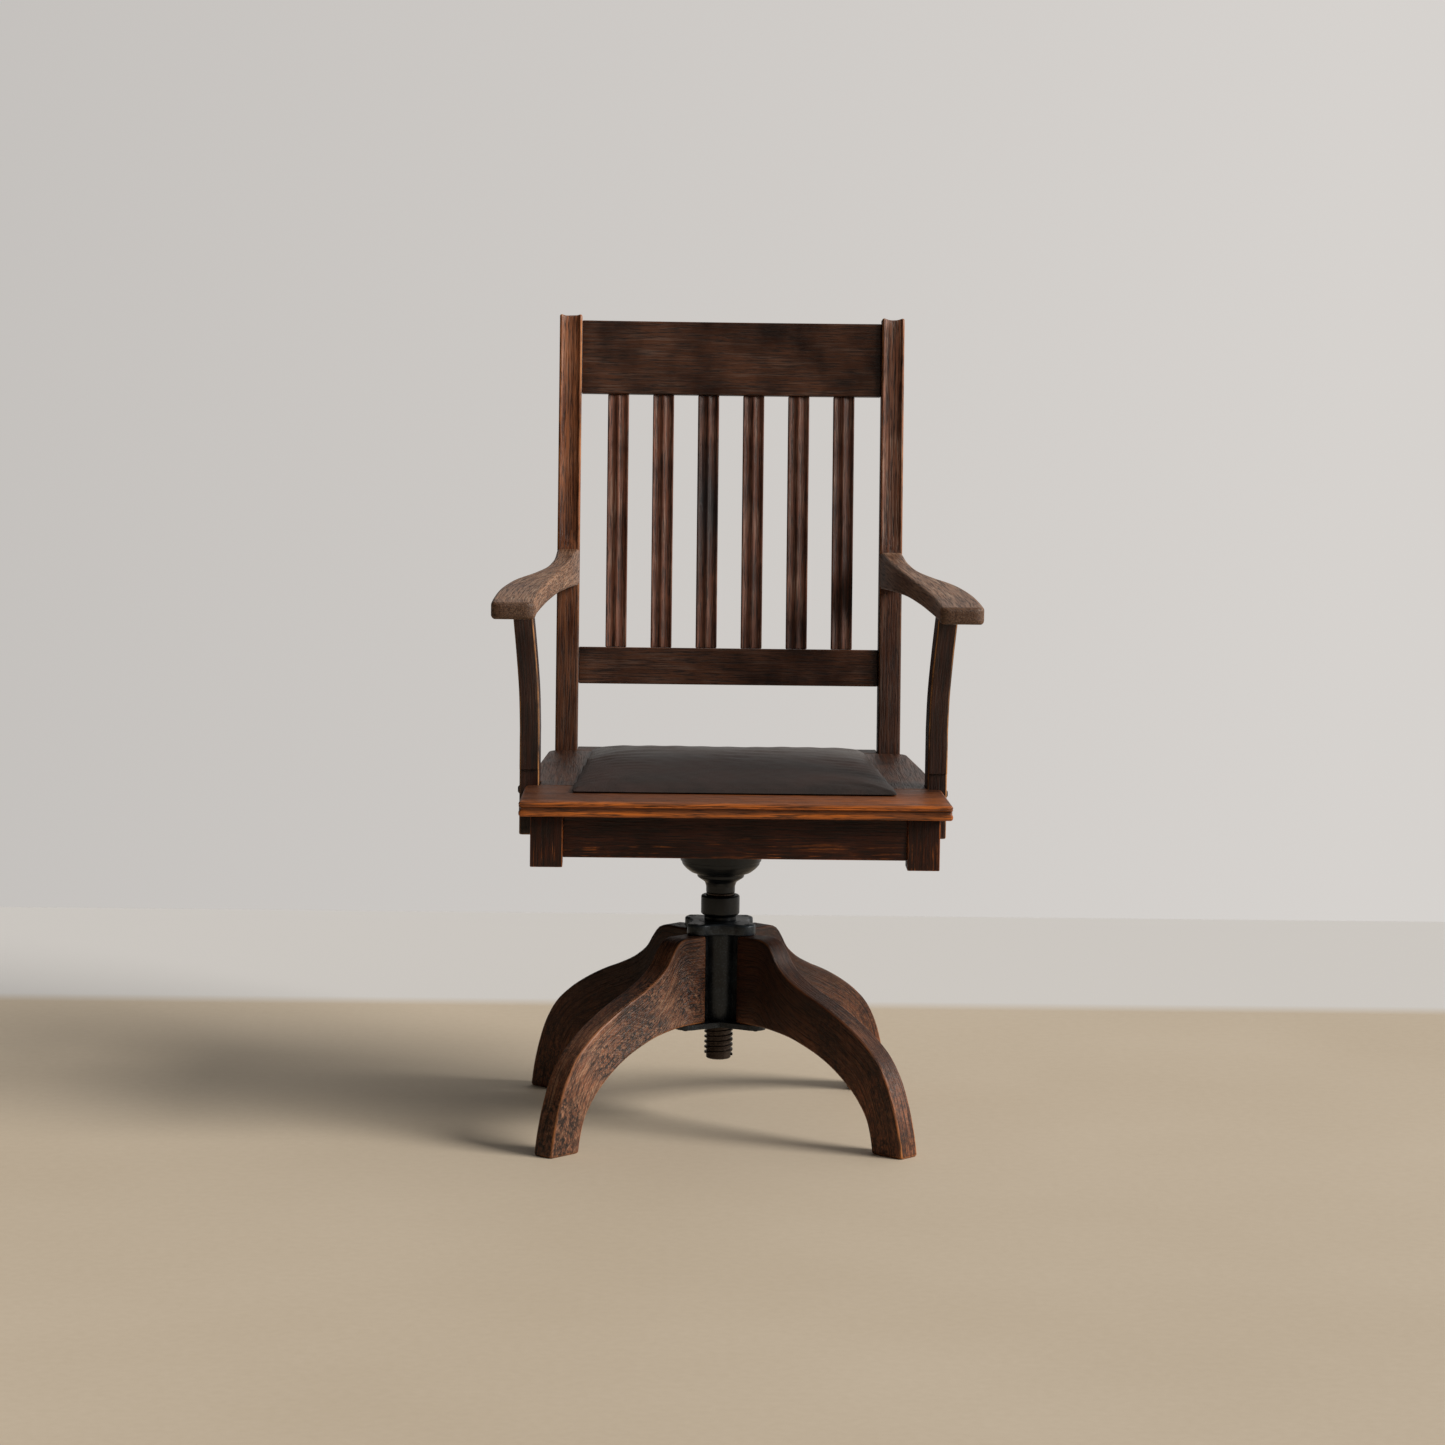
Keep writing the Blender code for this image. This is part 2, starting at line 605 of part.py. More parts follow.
def slat_section():
    """Half-width offsets and depths of the slat: two hollow flutes in its front face."""
    half = SLAT_WIDTH / 2
    section = [(-half, SLAT_THICKNESS), (-half, 0.0012), (-half + 0.0012, 0.0)]
    for centre in (-half / 2 + 0.0003, half / 2 - 0.0003):
        reach = half / 2 - 0.0018
        for i in range(4):
            t = i / 1.5 - 1
            section.append((centre + reach * t, 0.0002 + 0.0022 * (1 - t * t)))
    section += [(half - 0.0012, 0.0), (half, 0.0012), (half, SLAT_THICKNESS)]
    return section


def make_slat(name, x, frame):
    front = bow(x) + (RAIL_THICKNESS - SLAT_THICKNESS) / 2
    loops = []
    for up in (LOWER_RAIL[1] + GAP, CREST_RAIL[0] - GAP):
        loops.append([back_point(x + across, front + depth, up)
                      for across, depth in slat_section()])
    place_in_seat(loft(name, loops, DARK_OAK, frame))


# --- Arms ---------------------------------------------------------------------
def arm_top(y):
    part = (y - ARM_FRONT) / (ARM_BACK - ARM_FRONT)
    return ARM_TOP[0] + (ARM_TOP[1] - ARM_TOP[0]) * part


def arm_under(y):
    return arm_top(y) - value_at(ARM_THICKNESS, y)


def make_arms(frame, rails):
    screws = (("left", -1, rails[0]), ("right", 1, rails[1]))
    for name, side, rail in screws:
        loops = []
        for y in ARM_STATIONS:
            inner = side * value_at(ARM_INNER, y)
            outer = side * value_at(ARM_OUTER, y)
            under = arm_under(y)
            lean = 0.0
            if y == ARM_BACK:
                lean = (arm_top(y) - under) * math.tan(RAKE)
            loops.append([(inner, y - lean, under), (outer, y - lean, under),
                          (outer, y, arm_top(y)), (inner, y, arm_top(y))])
        arm = loft("arm_" + name, loops, DARK_OAK, frame)
        place_in_seat(arm)
        support = make_support("arm_support_" + name, side, frame)
        middle = sum(SUPPORT_Y) / 2
        place = (Matrix.Translation(-AXIS)
                 @ Matrix.Translation((side * (SUPPORT_X[1] + GAP), middle,
                                       SUPPORT_SCREW_Z))
                 @ Matrix.Rotation(side * math.pi / 2, 4, 'Y'))
        fastener("support_screw_" + name, SUPPORT_SCREW, place, frame, (support, rail))
        post = bpy.data.objects["back_post_" + name]
        depth = value_at([(0.0, POST_DEPTH[0]), (POST_LENGTH, POST_DEPTH[1])],
                         ARM_SCREW_S) + 0.0005
        head = back_point(side * sum(POST_X) / 2, depth, ARM_SCREW_S)
        place = (Matrix.Translation(-AXIS) @ Matrix.Translation(head)
                 @ Matrix.Rotation(-math.pi / 2 - RAKE, 4, 'X'))
        fastener("arm_screw_" + name, ARM_SCREW, place, frame, (post, arm))


def make_support(name, side, frame):
    """A curved upright lapped on the seat's side, swelling outwards under the arm."""
    flare = [(SUPPORT_BOTTOM, 0.0), (0.4950, 0.0), (0.5350, 0.0012), (0.5780, 0.0044),
             (0.6220, 0.0086), (0.6400, 0.0104)]
    stations = [(SUPPORT_BOTTOM, SHOULDER_STEP), (SUPPORT_SHOULDER, SHOULDER_STEP),
                (SUPPORT_SHOULDER, 0.0), (0.4950, 0.0), (0.5350, 0.0), (0.5565, 0.0),
                (0.5780, 0.0), (0.6000, 0.0), (0.6220, 0.0), (0.6400, 0.0)]
    loops = []
    for z, step in stations:
        loop = []
        for x, y in ((SUPPORT_X[0], SUPPORT_Y[0] + step), (SUPPORT_X[1], SUPPORT_Y[0] + step),
                     (SUPPORT_X[1], SUPPORT_Y[1]), (SUPPORT_X[0], SUPPORT_Y[1])):
            height = min(z, arm_under(y) - GAP)
            out = side_line(x, y) + value_at(flare, z)
            loop.append((side * out, y, height))
        loops.append(loop)
    support = loft(name, loops, DARK_OAK, frame)
    place_in_seat(support)
    return support


def main():
    clear_scene()
    make_base()
    make_column()
    frame = add_empty("seat_frame", AXIS)
    iron = make_seat_iron(frame)
    make_underframe(frame, iron)
    rails = make_seat(frame)
    make_back(frame)
    make_arms(frame, rails)


main()
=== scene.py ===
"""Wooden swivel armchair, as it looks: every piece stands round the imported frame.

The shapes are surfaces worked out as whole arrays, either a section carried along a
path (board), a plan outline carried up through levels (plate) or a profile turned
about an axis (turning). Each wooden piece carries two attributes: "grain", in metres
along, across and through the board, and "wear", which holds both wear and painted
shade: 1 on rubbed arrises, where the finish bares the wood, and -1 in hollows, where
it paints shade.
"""
import math

import bmesh
import bpy
import numpy as np
from mathutils import Matrix, Vector


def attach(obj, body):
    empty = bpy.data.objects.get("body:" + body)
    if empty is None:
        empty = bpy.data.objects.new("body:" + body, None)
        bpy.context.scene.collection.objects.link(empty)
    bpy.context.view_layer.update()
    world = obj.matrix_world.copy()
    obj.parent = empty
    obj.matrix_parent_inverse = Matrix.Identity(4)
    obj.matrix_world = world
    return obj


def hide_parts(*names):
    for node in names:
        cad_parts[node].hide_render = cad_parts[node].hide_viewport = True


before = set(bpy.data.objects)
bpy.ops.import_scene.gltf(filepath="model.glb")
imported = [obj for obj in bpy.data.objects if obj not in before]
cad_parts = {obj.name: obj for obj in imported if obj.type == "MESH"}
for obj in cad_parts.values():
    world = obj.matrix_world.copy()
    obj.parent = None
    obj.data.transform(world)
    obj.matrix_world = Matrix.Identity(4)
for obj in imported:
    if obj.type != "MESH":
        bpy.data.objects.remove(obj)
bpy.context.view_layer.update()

# --- Sizes shared with the frame, in metres ------------------------------------
GAP = 0.0003
AXIS = np.array((-0.0112, -0.0294, 0.0))      # the swivel axis
BASE_YAW = math.radians(1.75)
RAKE = math.radians(7.32)                     # of the back, from upright
SEAT_BOTTOM, SEAT_TOP = 0.4078, 0.4253
SEAT_FRONT, FRONT_RAIL_BACK = -0.2843, -0.1400
POST_X = (0.1890, 0.2172)
POST_FRONT = 0.1864
POST_DEPTH = (0.0345, 0.0280)
POST_LENGTH = 0.5487
RAIL_HALF = POST_X[0] - GAP
CREST_RAIL = (0.4500, 0.5418)
LOWER_RAIL = (0.0845, 0.1305)
RAIL_SETBACK, RAIL_THICKNESS, RAIL_BOW = 0.0060, 0.0175, 0.0042
SLAT_PITCH, SLAT_WIDTH, SLAT_THICKNESS = 0.0569, 0.0265, 0.0110
STUB_BOTTOM = 0.3465
STUB_X = (0.2003, 0.2380)
STUB_Y = (-0.2664, -0.2290)
APRON = (0.3579, SEAT_BOTTOM - GAP)
APRON_THICKNESS = 0.0195
SUPPORT_X = (0.2300, 0.2533)
SUPPORT_Y = (-0.1396, -0.1036)
SUPPORT_BOTTOM, SUPPORT_SHOULDER, SHOULDER_STEP = 0.3650, 0.4430, 0.0030
SIDE_TAPER = 0.0411
ARM_FRONT, ARM_BACK = -0.2462, 0.2184
ARM_TOP = (0.6523, 0.6769)
LEG_THICKNESS, LEG_START, LEG_TOP = 0.0297, 0.0403, 0.2335
HUB_TOP, HUB_BOTTOM, HUB_BORE = 0.2475, 0.1185, 0.0178
LOBE_RADIUS, TOP_LOBE_CENTRE, TOP_LOBE_WAIST = 0.0146, 0.0380, 0.0335
LEG_BOLT_RADIUS = 0.0458
PITCH, CREST, ROOT = 0.00635, 0.0174, 0.0150
SPINDLE_BOTTOM, SHOULDER, JOURNAL_TOP = 0.0770, 0.2788, 0.3420
JOURNAL = 0.0108
IRON_BOTTOM, NUT_TOP = 0.2812, 0.2785
CORNERS = ("rear_right", "rear_left", "front_left", "front_right")


# --- Camera, light and floor -----------------------------------------------------
def linear(code):
    """An sRGB hex colour as the linear colour that the shaders work in."""
    parts = np.array([int(code[i:i + 2], 16) for i in (1, 3, 5)]) / 255
    parts = np.where(parts <= 0.04045, parts / 12.92, ((parts + 0.055) / 1.055) ** 2.4)
    return (*parts.tolist(), 1.0)


def set_camera():
    """A long lens from about seat height above the floor, tipped a little down."""
    turn, tip, roll = (math.radians(a) for a in (1.2261, 6.98, 0.7956))
    forward = Vector((math.sin(turn) * math.cos(tip), math.cos(turn) * math.cos(tip),
                      -math.sin(tip)))
    right = Vector((math.cos(turn), -math.sin(turn), 0))
    above = right.cross(forward)
    across = right * math.cos(roll) + above * math.sin(roll)
    up = above * math.cos(roll) - right * math.sin(roll)
    lens = bpy.data.cameras.new("studio_camera")
    lens.sensor_width = 36.0
    lens.lens = 112.08
    lens.clip_end = 60.0
    camera = bpy.data.objects.new("studio_camera", lens)
    camera.matrix_world = Matrix((
        (across.x, up.x, -forward.x, -0.1272),
        (across.y, up.y, -forward.y, -5.4281),
        (across.z, up.z, -forward.z, 1.1500),
        (0, 0, 0, 1)))
    bpy.context.scene.collection.objects.link(camera)
    bpy.context.scene.camera = camera


def add(tree, kind, inputs=(), out=0, **settings):
    """One shader node with its settings and links; gives back one of its outputs."""
    made = tree.nodes.new("ShaderNode" + kind)
    for name, value in settings.items():
        setattr(made, name, value)
    for place, value in dict(inputs).items():
        if isinstance(value, bpy.types.NodeSocket):
            tree.links.new(value, made.inputs[place])
        else:
            made.inputs[place].default_value = value
    return made.outputs[out]


def start_material(name):
    """An empty material with its Principled shader already feeding the output."""
    material = bpy.data.materials.new(name)
    material.use_nodes = True
    tree = material.node_tree
    return material, tree, tree.nodes["Principled BSDF"]


def set_room():
    """A plain light room that throws most of its light from the right and above."""
    world = bpy.data.worlds.new("studio_room")
    world.use_nodes = True
    tree = world.node_tree
    background = tree.nodes["Background"]
    background.inputs["Color"].default_value = linear("#dcd8d4")
    way = add(tree, "TexCoord", out="Generated")
    lit = add(tree, "VectorMath", {0: way, 1: (0.84, 0.32, 0.44)}, out="Value",
              operation='DOT_PRODUCT')
    glow = add(tree, "MapRange", {0: lit, 1: -0.10, 2: 0.95, 3: 0.02, 4: 1.00})
    across = add(tree, "SeparateXYZ", {0: way}, out="X")
    wall = add(tree, "MapRange", {0: across, 1: -0.16, 2: 0.16, 3: 0.77, 4: 0.94})
    seen = add(tree, "LightPath", out="Is Camera Ray")
    power = add(tree, "Mix", {0: seen, 2: glow, 3: wall})
    tree.links.new(power, background.inputs["Strength"])
    bpy.context.scene.world = world
    bpy.context.scene.view_settings.view_transform = 'Standard'


def set_window():
    """Light as from one wide window far off, high on the right and a little in front."""
    light = bpy.data.lights.new("window", 'SUN')
    light.energy = 3.6
    light.angle = math.radians(26)
    light.color = linear("#fff8f0")[:3]
    lamp = bpy.data.objects.new("window", light)
    away = Vector((5.6, -2.4, 3.5))
    lamp.rotation_euler = away.to_track_quat('Z', 'Y').to_euler()
    bpy.context.scene.collection.objects.link(lamp)


def set_floor():
    """A trowelled plaster floor that turns nearly white a little way behind the chair."""
    material, tree, shader = start_material("trowelled_plaster_floor")
    place = add(tree, "TexCoord", out="Object")
    cloud = add(tree, "TexNoise", {"Vector": place, "Scale": 1.6, "Detail": 5.0})
    grit = add(tree, "TexNoise", {"Vector": place, "Scale": 90.0, "Detail": 4.0})
    cloud = add(tree, "Mix", {0: 0.35, 2: cloud, 3: grit})
    shade = add(tree, "Mix", {0: cloud, 6: linear("#b9aa93"), 7: linear("#d2c6b3")}, out=2,
                data_type='RGBA')
    behind = add(tree, "SeparateXYZ", {0: place}, out="Y")
    paler = add(tree, "MapRange", {0: behind, 1: 0.71, 2: 0.77})
    shade = add(tree, "Mix", {0: paler, 6: shade, 7: linear("#d8d8d7")}, out=2,
                data_type='RGBA')
    tree.links.new(shade, shader.inputs["Base Color"])
    shader.inputs["Roughness"].default_value = 0.75
    floor = bpy.data.meshes.new("floor")
    wide, front, back = 4.5, -4.5, 1.5
    floor.from_pydata([(-wide, front, 0), (wide, front, 0), (wide, back, 0),
                       (-wide, back, 0)], [], [(0, 1, 2, 3)])
    floor.materials.append(material)
    ground = bpy.data.objects.new("floor", floor)
    bpy.context.scene.collection.objects.link(ground)


set_camera()
set_room()
set_window()
set_floor()


# --- Finishes ----------------------------------------------------------------------
def stained_oak(name, deep, warm, bare, dust, rubbed=1.0, dusty=0.3, rough=(0.34, 0.52),
                carried=True, scuffed=0.0, relief=0.35, cloudy=0.5, even=0.10,
                blackened=None, painted_shade=None, scraped=0.0, waxed=0.40):
    """Plain-sawn oak, fumed and stained nearly black long ago, then waxed and rubbed.

    Growth streaks about 3 mm wide and 110 mm long vary the stain, pores (0.3 mm wide on
    real oak, drawn 1.6 mm so that they show) hold the darkest of it, clouds some 60 mm
    across are where hands and damp have changed it, arrises are rubbed to bare wood and
    open flats keep a thin grey film of wax. Legs are also scuffed by shoes, in fine
    slanting scratches and dark stains.

    Colour = figure, with each coat mixed over it by the product of its factors. The
    shade argument is (axis, dark end, plain end, share): painted shade darkening towards
    one end of an axis. blackened is the middle of an iron stain, and scraped bares the
    wood in a band below the seat.
    """
    material, tree, shader = start_material(name)
    place = add(tree, "TexCoord", out="Object")
    along = add(tree, "Attribute", out="Vector", attribute_name="grain") if carried else place
    wear_and_shade = add(tree, "Attribute", out="Fac", attribute_name="wear_and_shade")
    noises = [(along, (9, 300, 300), 4.0, 0.70, 0.40, 0.60),
              (along, (34, 620, 620), 2.0, 0.70, 0.50, 0.62),
              (along, (14, 480, 480), 2.0, 0.70, 0.52, 0.64),
              (place, (16, 16, 16), 3.0, 0.50, 0.36, 0.64),
              (place, (48, 48, 48), 4.0, 0.65, 0.40, 0.62)]
    if scuffed:
        for tilt in (0.75, -0.65):
            slant = add(tree, "Mapping", {"Vector": along, "Rotation": (0, tilt, 0)})
            noises.append((slant, (46, 760, 760), 2.0, 0.60, 0.50, 0.60))
        noises += [(place, (170, 170, 170), 5.0, 0.80, 0.46, 0.56),
                   (place, (12, 12, 12), 3.0, 0.55, 0.42, 0.58)]
    masks = []
    for vector, scales, detail, rougher, low, high in noises:
        stretched = add(tree, "VectorMath", {0: vector, 1: scales}, operation='MULTIPLY')
        noise = add(tree, "TexNoise", {"Vector": stretched, "Scale": 1.0,
                                       "Detail": detail, "Roughness": rougher})
        masks.append(add(tree, "MapRange", {0: noise, 1: low, 2: high}))
    streaks, pores, pale, clouds, blots = masks[:5]

    figure = add(tree, "Mix", {0: cloudy, 2: streaks, 3: clouds})
    colour = add(tree, "Mix", {0: figure, 6: linear(deep), 7: linear(warm)}, out=2,
                 data_type='RGBA')
    worn = add(tree, "Mix", {0: streaks, 6: linear(bare), 7: linear(warm)}, out=2,
               data_type='RGBA')
    # edge is the rubbed arrises; hollow is the flutes and coves, which get painted shade
    edge = add(tree, "MapRange", {0: wear_and_shade, 1: 0.0, 2: 1.0})
    hollow = add(tree, "MapRange", {0: wear_and_shade, 1: 0.0, 2: -1.0})
    patchy = add(tree, "Math", {0: blots, 1: clouds}, operation='ADD')
    patchy = add(tree, "Math", {0: patchy, 1: even}, operation='ADD', use_clamp=True)
    coats = [((clouds, pale, dusty), linear(dust))]
    if scuffed:
        dark_scratch, pale_scratch, mottle, grime = masks[5:]
        coats += [((pale_scratch, 0.32, scuffed), linear(dust)),
                  ((dark_scratch, 0.50, scuffed), linear("#1c0f0a")),
                  ((mottle, grime, scuffed), linear("#190d09"))]
    coats.append(((edge, patchy, rubbed), worn))
    if scraped:
        height = add(tree, "SeparateXYZ", {0: place}, out="Z")
        low = add(tree, "MapRange", {0: height, 1: SEAT_BOTTOM - 0.022,
                                     2: SEAT_BOTTOM - 0.050})
        scrape = add(tree, "MapRange", {0: pale, 1: 0.2, 2: 0.8})
        coats.append(((scrape, blots, low, scraped), worn))
    # pores hold the darkest of the stain; the coat over hollows is painted shade
    coats += [((pores, 0.78), linear("#120906")), ((hollow, 0.35), linear("#150a07"))]
    # painted shade: darker towards one end of an axis
    if painted_shade:
        axis, dark_end, plain_end, most = painted_shade
        at = add(tree, "SeparateXYZ", {0: place}, out=axis)
        fade = add(tree, "MapRange", {0: at, 1: dark_end, 2: plain_end, 3: most, 4: 0.0})
        coats.append(((fade,), linear("#1a0d09")))
    if blackened:
        away = add(tree, "VectorMath", {0: place, 1: blackened}, operation='SUBTRACT')
        oval = add(tree, "VectorMath", {0: away, 1: (1.6, 1.0, 0.55)}, operation='MULTIPLY')
        far = add(tree, "VectorMath", {0: oval}, out="Value", operation='LENGTH')
        stain = add(tree, "MapRange", {0: far, 1: 0.055, 2: 0.020, 3: 0.0, 4: 0.85})
        coats.append(((stain,), linear("#11151a")))
    for factors, tint in coats:
        share = factors[0]
        for factor in factors[1:]:
            share = add(tree, "Math", {0: share, 1: factor}, operation='MULTIPLY')
        colour = add(tree, "Mix", {0: share, 6: colour, 7: tint}, out=2, data_type='RGBA')
    tree.links.new(colour, shader.inputs["Base Color"])

    dry = add(tree, "Mix", {0: 0.5, 2: clouds, 3: pores})
    gloss = add(tree, "MapRange", {0: dry, 3: rough[0], 4: rough[1]})
    tree.links.new(gloss, shader.inputs["Roughness"])
    height = add(tree, "Math", {0: streaks, 1: pores}, operation='SUBTRACT')
    bump = add(tree, "Bump", {"Strength": relief, "Distance": 0.0005, "Height": height})
    tree.links.new(bump, shader.inputs["Normal"])
    shader.inputs["IOR"].default_value = 1.5
    shader.inputs["Specular IOR Level"].default_value = waxed
    return material


def plain_metal(name, base, bright, rough, metallic, grit, relief):
    """A cast or turned iron skin: fine sand grit, and brighter where it is handled.

    Sand grains are about 0.3 mm on a real casting; grit 420 draws them 2.4 mm and grit 900
    draws a machined skin 1.1 mm, so that they show.
    """
    material, tree, shader = start_material(name)
    place = add(tree, "TexCoord", out="Object")
    grain = add(tree, "TexNoise", {"Vector": place, "Scale": grit, "Detail": 3.0})
    stain = add(tree, "TexNoise", {"Vector": place, "Scale": 38.0, "Detail": 4.0})
    wear_and_shade = add(tree, "Attribute", out="Fac", attribute_name="wear_and_shade")
    fleck = add(tree, "MapRange", {0: grain, 1: 0.52, 2: 0.66, 3: 0.0, 4: 0.45})
    rub = add(tree, "MapRange", {0: stain, 1: 0.35, 2: 0.70, 3: 0.0, 4: 0.45})
    rub = add(tree, "Math", {0: rub, 1: fleck}, operation='ADD')
    rub = add(tree, "Math", {0: rub, 1: wear_and_shade}, operation='ADD', use_clamp=True)
    rub = add(tree, "Math", {0: rub, 1: 0.7}, operation='MULTIPLY')
    colour = add(tree, "Mix", {0: rub, 6: linear(base), 7: linear(bright)}, out=2,
                 data_type='RGBA')
    tree.links.new(colour, shader.inputs["Base Color"])
    gloss = add(tree, "MapRange", {0: stain, 1: 0.3, 2: 0.7, 3: rough[0], 4: rough[1]})
    tree.links.new(gloss, shader.inputs["Roughness"])
    bump = add(tree, "Bump", {"Strength": relief, "Distance": 0.0006, "Height": grain})
    tree.links.new(bump, shader.inputs["Normal"])
    shader.inputs["Metallic"].default_value = metallic
    return material


def old_hide(name):
    """Vegetable-tanned cowhide, blackened and waxed: pebbled grain, fine cracks, bloom.

    The front of the pad is duller, where knees have rubbed its wax away, and its colour
    pales towards the back in a painted sheen. The pebbles are 1 mm across on real hide
    and drawn 2.4 mm so that they show; the cracks leave islands of about 10 mm.
    """
    material, tree, shader = start_material(name)
    place = add(tree, "TexCoord", out="Object")
    bloom = add(tree, "TexNoise", {"Vector": place, "Scale": 9.0, "Detail": 5.0,
                                   "Roughness": 0.6})
    pebble = add(tree, "TexVoronoi", {"Vector": place, "Scale": 420.0}, out="Distance",
                 feature='DISTANCE_TO_EDGE')
    wander = add(tree, "TexNoise", {"Vector": place, "Scale": 22.0, "Detail": 3.0},
                 out="Color")
    wander = add(tree, "VectorMath", {0: wander, 1: (0.03, 0.03, 0.03)},
                 operation='MULTIPLY')
    bent = add(tree, "VectorMath", {0: place, 1: wander}, operation='ADD')
    crack = add(tree, "TexVoronoi", {"Vector": bent, "Scale": 95.0}, out="Distance",
                feature='DISTANCE_TO_EDGE')
    cracks = add(tree, "MapRange", {0: crack, 1: 0.0, 2: 0.04, 3: 0.5, 4: 0.0})
    tone = add(tree, "MapRange", {0: bloom, 1: 0.38, 2: 0.68})
    colour = add(tree, "Mix", {0: tone, 6: linear("#1a0f0a"), 7: linear("#33201a")}, out=2,
                 data_type='RGBA')
    colour = add(tree, "Mix", {0: cracks, 6: colour, 7: linear("#0d0907")}, out=2,
                 data_type='RGBA')
    # painted sheen: the colour pales towards the back of the pad
    depth = add(tree, "SeparateXYZ", {0: place}, out="Y")
    painted_sheen = add(tree, "MapRange", {0: depth, 1: 0.02, 2: 0.16, 3: 0.0, 4: 0.30})
    colour = add(tree, "Mix", {0: painted_sheen, 6: colour, 7: linear("#6b6058")}, out=2,
                 data_type='RGBA')
    tree.links.new(colour, shader.inputs["Base Color"])
    dull = add(tree, "MapRange", {0: depth, 1: 0.12, 2: -0.10, 3: 0.0, 4: 0.26})
    gloss = add(tree, "MapRange", {0: bloom, 1: 0.35, 2: 0.65, 3: 0.25, 4: 0.36})
    gloss = add(tree, "Math", {0: gloss, 1: dull}, operation='ADD')
    tree.links.new(gloss, shader.inputs["Roughness"])
    pebbled = add(tree, "MapRange", {0: pebble, 1: 0.0, 2: 0.25})
    height = add(tree, "Math", {0: pebbled, 1: cracks}, operation='SUBTRACT')
    bump = add(tree, "Bump", {"Strength": 0.35, "Distance": 0.0006, "Height": height})
    tree.links.new(bump, shader.inputs["Normal"])
    shader.inputs["Specular IOR Level"].default_value = 0.50
    return material


DARK_OAK = stained_oak("fumed_oak_waxed", "#1e0f0a", "#50301f", "#8a5028", "#75655c",
                       rubbed=0.5, dusty=0.30, cloudy=0.80, rough=(0.30, 0.46))
# Both posts darken below the arms: painted shade.
POST_OAK = {
    "left": stained_oak("fumed_oak_left_post", "#5a2f1a", "#bb774f", "#cc8848", "#b39a85",
                        rubbed=0.9, dusty=0.5, rough=(0.32, 0.48), cloudy=0.35,
                        painted_shade=("Z", SEAT_TOP + 0.12, SEAT_TOP + 0.38, 0.75)),
    "right": stained_oak("fumed_oak_right_post", "#3c2014", "#915f48", "#b9783e",
                         "#a58d7c", rubbed=0.9, dusty=0.7, rough=(0.30, 0.46),
                         cloudy=0.35,
                         painted_shade=("Z", SEAT_TOP + 0.12, SEAT_TOP + 0.36, 0.78))}
SUPPORT_OAK = stained_oak("fumed_oak_supports", "#150906", "#3a1d12", "#c48a52", "#6d5a50",
                          rubbed=0.9, dusty=0.25, even=0.30)
# The slats darken towards the right-hand side in painted shade; blackened is a real iron stain
# on the third slat.
SLAT_OAK = stained_oak("fumed_oak_slats", "#2e160c", "#84503a", "#8d5838", "#a58b79",
                       rubbed=0.5, dusty=0.6, rough=(0.38, 0.54), cloudy=0.45,
                       painted_shade=("X", 0.17, -0.20, 0.45),
                       blackened=(-0.0284, 0.225, 0.735))
SEAT_OAK = stained_oak("seat_oak_dry", "#22110b", "#523222", "#8f5f38", "#85766b",
                       rubbed=0.7, dusty=0.30, rough=(0.32, 0.46), waxed=0.28)
EDGE_OAK = stained_oak("front_rail_oak_worn", "#2a160c", "#6b3d20", "#c46a22", "#85766b",
                       rubbed=0.95, dusty=0.12, rough=(0.36, 0.52), even=0.80, cloudy=0.3)
APRON_OAK = stained_oak("apron_oak_dark", "#130603", "#3a190c", "#b5652a", "#4d3a30",
                        rubbed=1.0, dusty=0.12, cloudy=0.5, even=0.40, scraped=0.9,
                        waxed=0.25)
# The arms darken over their front ends: partly end grain that took more stain, partly painted
# shade on the face turned from the light.
ARM_OAK = stained_oak("arm_oak_handled", "#5a3b28", "#98735a", "#9a704e", "#ab9580",
                      rubbed=0.35, dusty=0.8, rough=(0.38, 0.56), cloudy=0.3,
                      painted_shade=("Y", ARM_FRONT + 0.001, ARM_FRONT + 0.008, 0.55))
# Each leg darkens towards its top under the seat in painted shade, the front-left leg a
# little, the others strongly.
LEG_OAK = {
    "front_left": stained_oak("leg_oak_scuffed", "#482412", "#85543a", "#bd773c",
                              "#b28d70", rubbed=0.8, dusty=0.5, rough=(0.40, 0.58),
                              scuffed=1.0, relief=0.6, cloudy=0.6,
                              painted_shade=("Z", 0.235, 0.18, 0.20)),
    "other": stained_oak("leg_oak_painted_shade", "#44210f", "#96593a", "#bf7a40", "#ab7d55",
                         rubbed=0.9, dusty=0.45, rough=(0.38, 0.56), scuffed=0.8,
                         relief=0.6, cloudy=0.7, painted_shade=("Z", 0.16, 0.05, 0.82),
                         waxed=0.30)}
UNSEEN_OAK = stained_oak("frame_oak_unseen", "#23120c", "#3f2519", "#9a5c30", "#6d5a50",
                         carried=False)
CAST_IRON = plain_metal("cast_iron_japanned", "#13171b", "#454f58", (0.28, 0.44),
                        metallic=0.35, grit=420.0, relief=0.30)
# A darker copy of the japanned iron for the bell and the nut collar, which stand under the
# seat: its darker colour is painted shade.
TURNED_IRON_PAINTED_SHADE = plain_metal("turned_iron_japanned_painted_shade", "#04070a", "#1a232b", (0.28, 0.42),
                          metallic=0.35, grit=420.0, relief=0.15)
DARK_STEEL = plain_metal("screw_steel_oiled", "#2b2421", "#6d625a", (0.26, 0.44),
                         metallic=1.0, grit=900.0, relief=0.12)
HIDE = old_hide("cowhide_blackened")


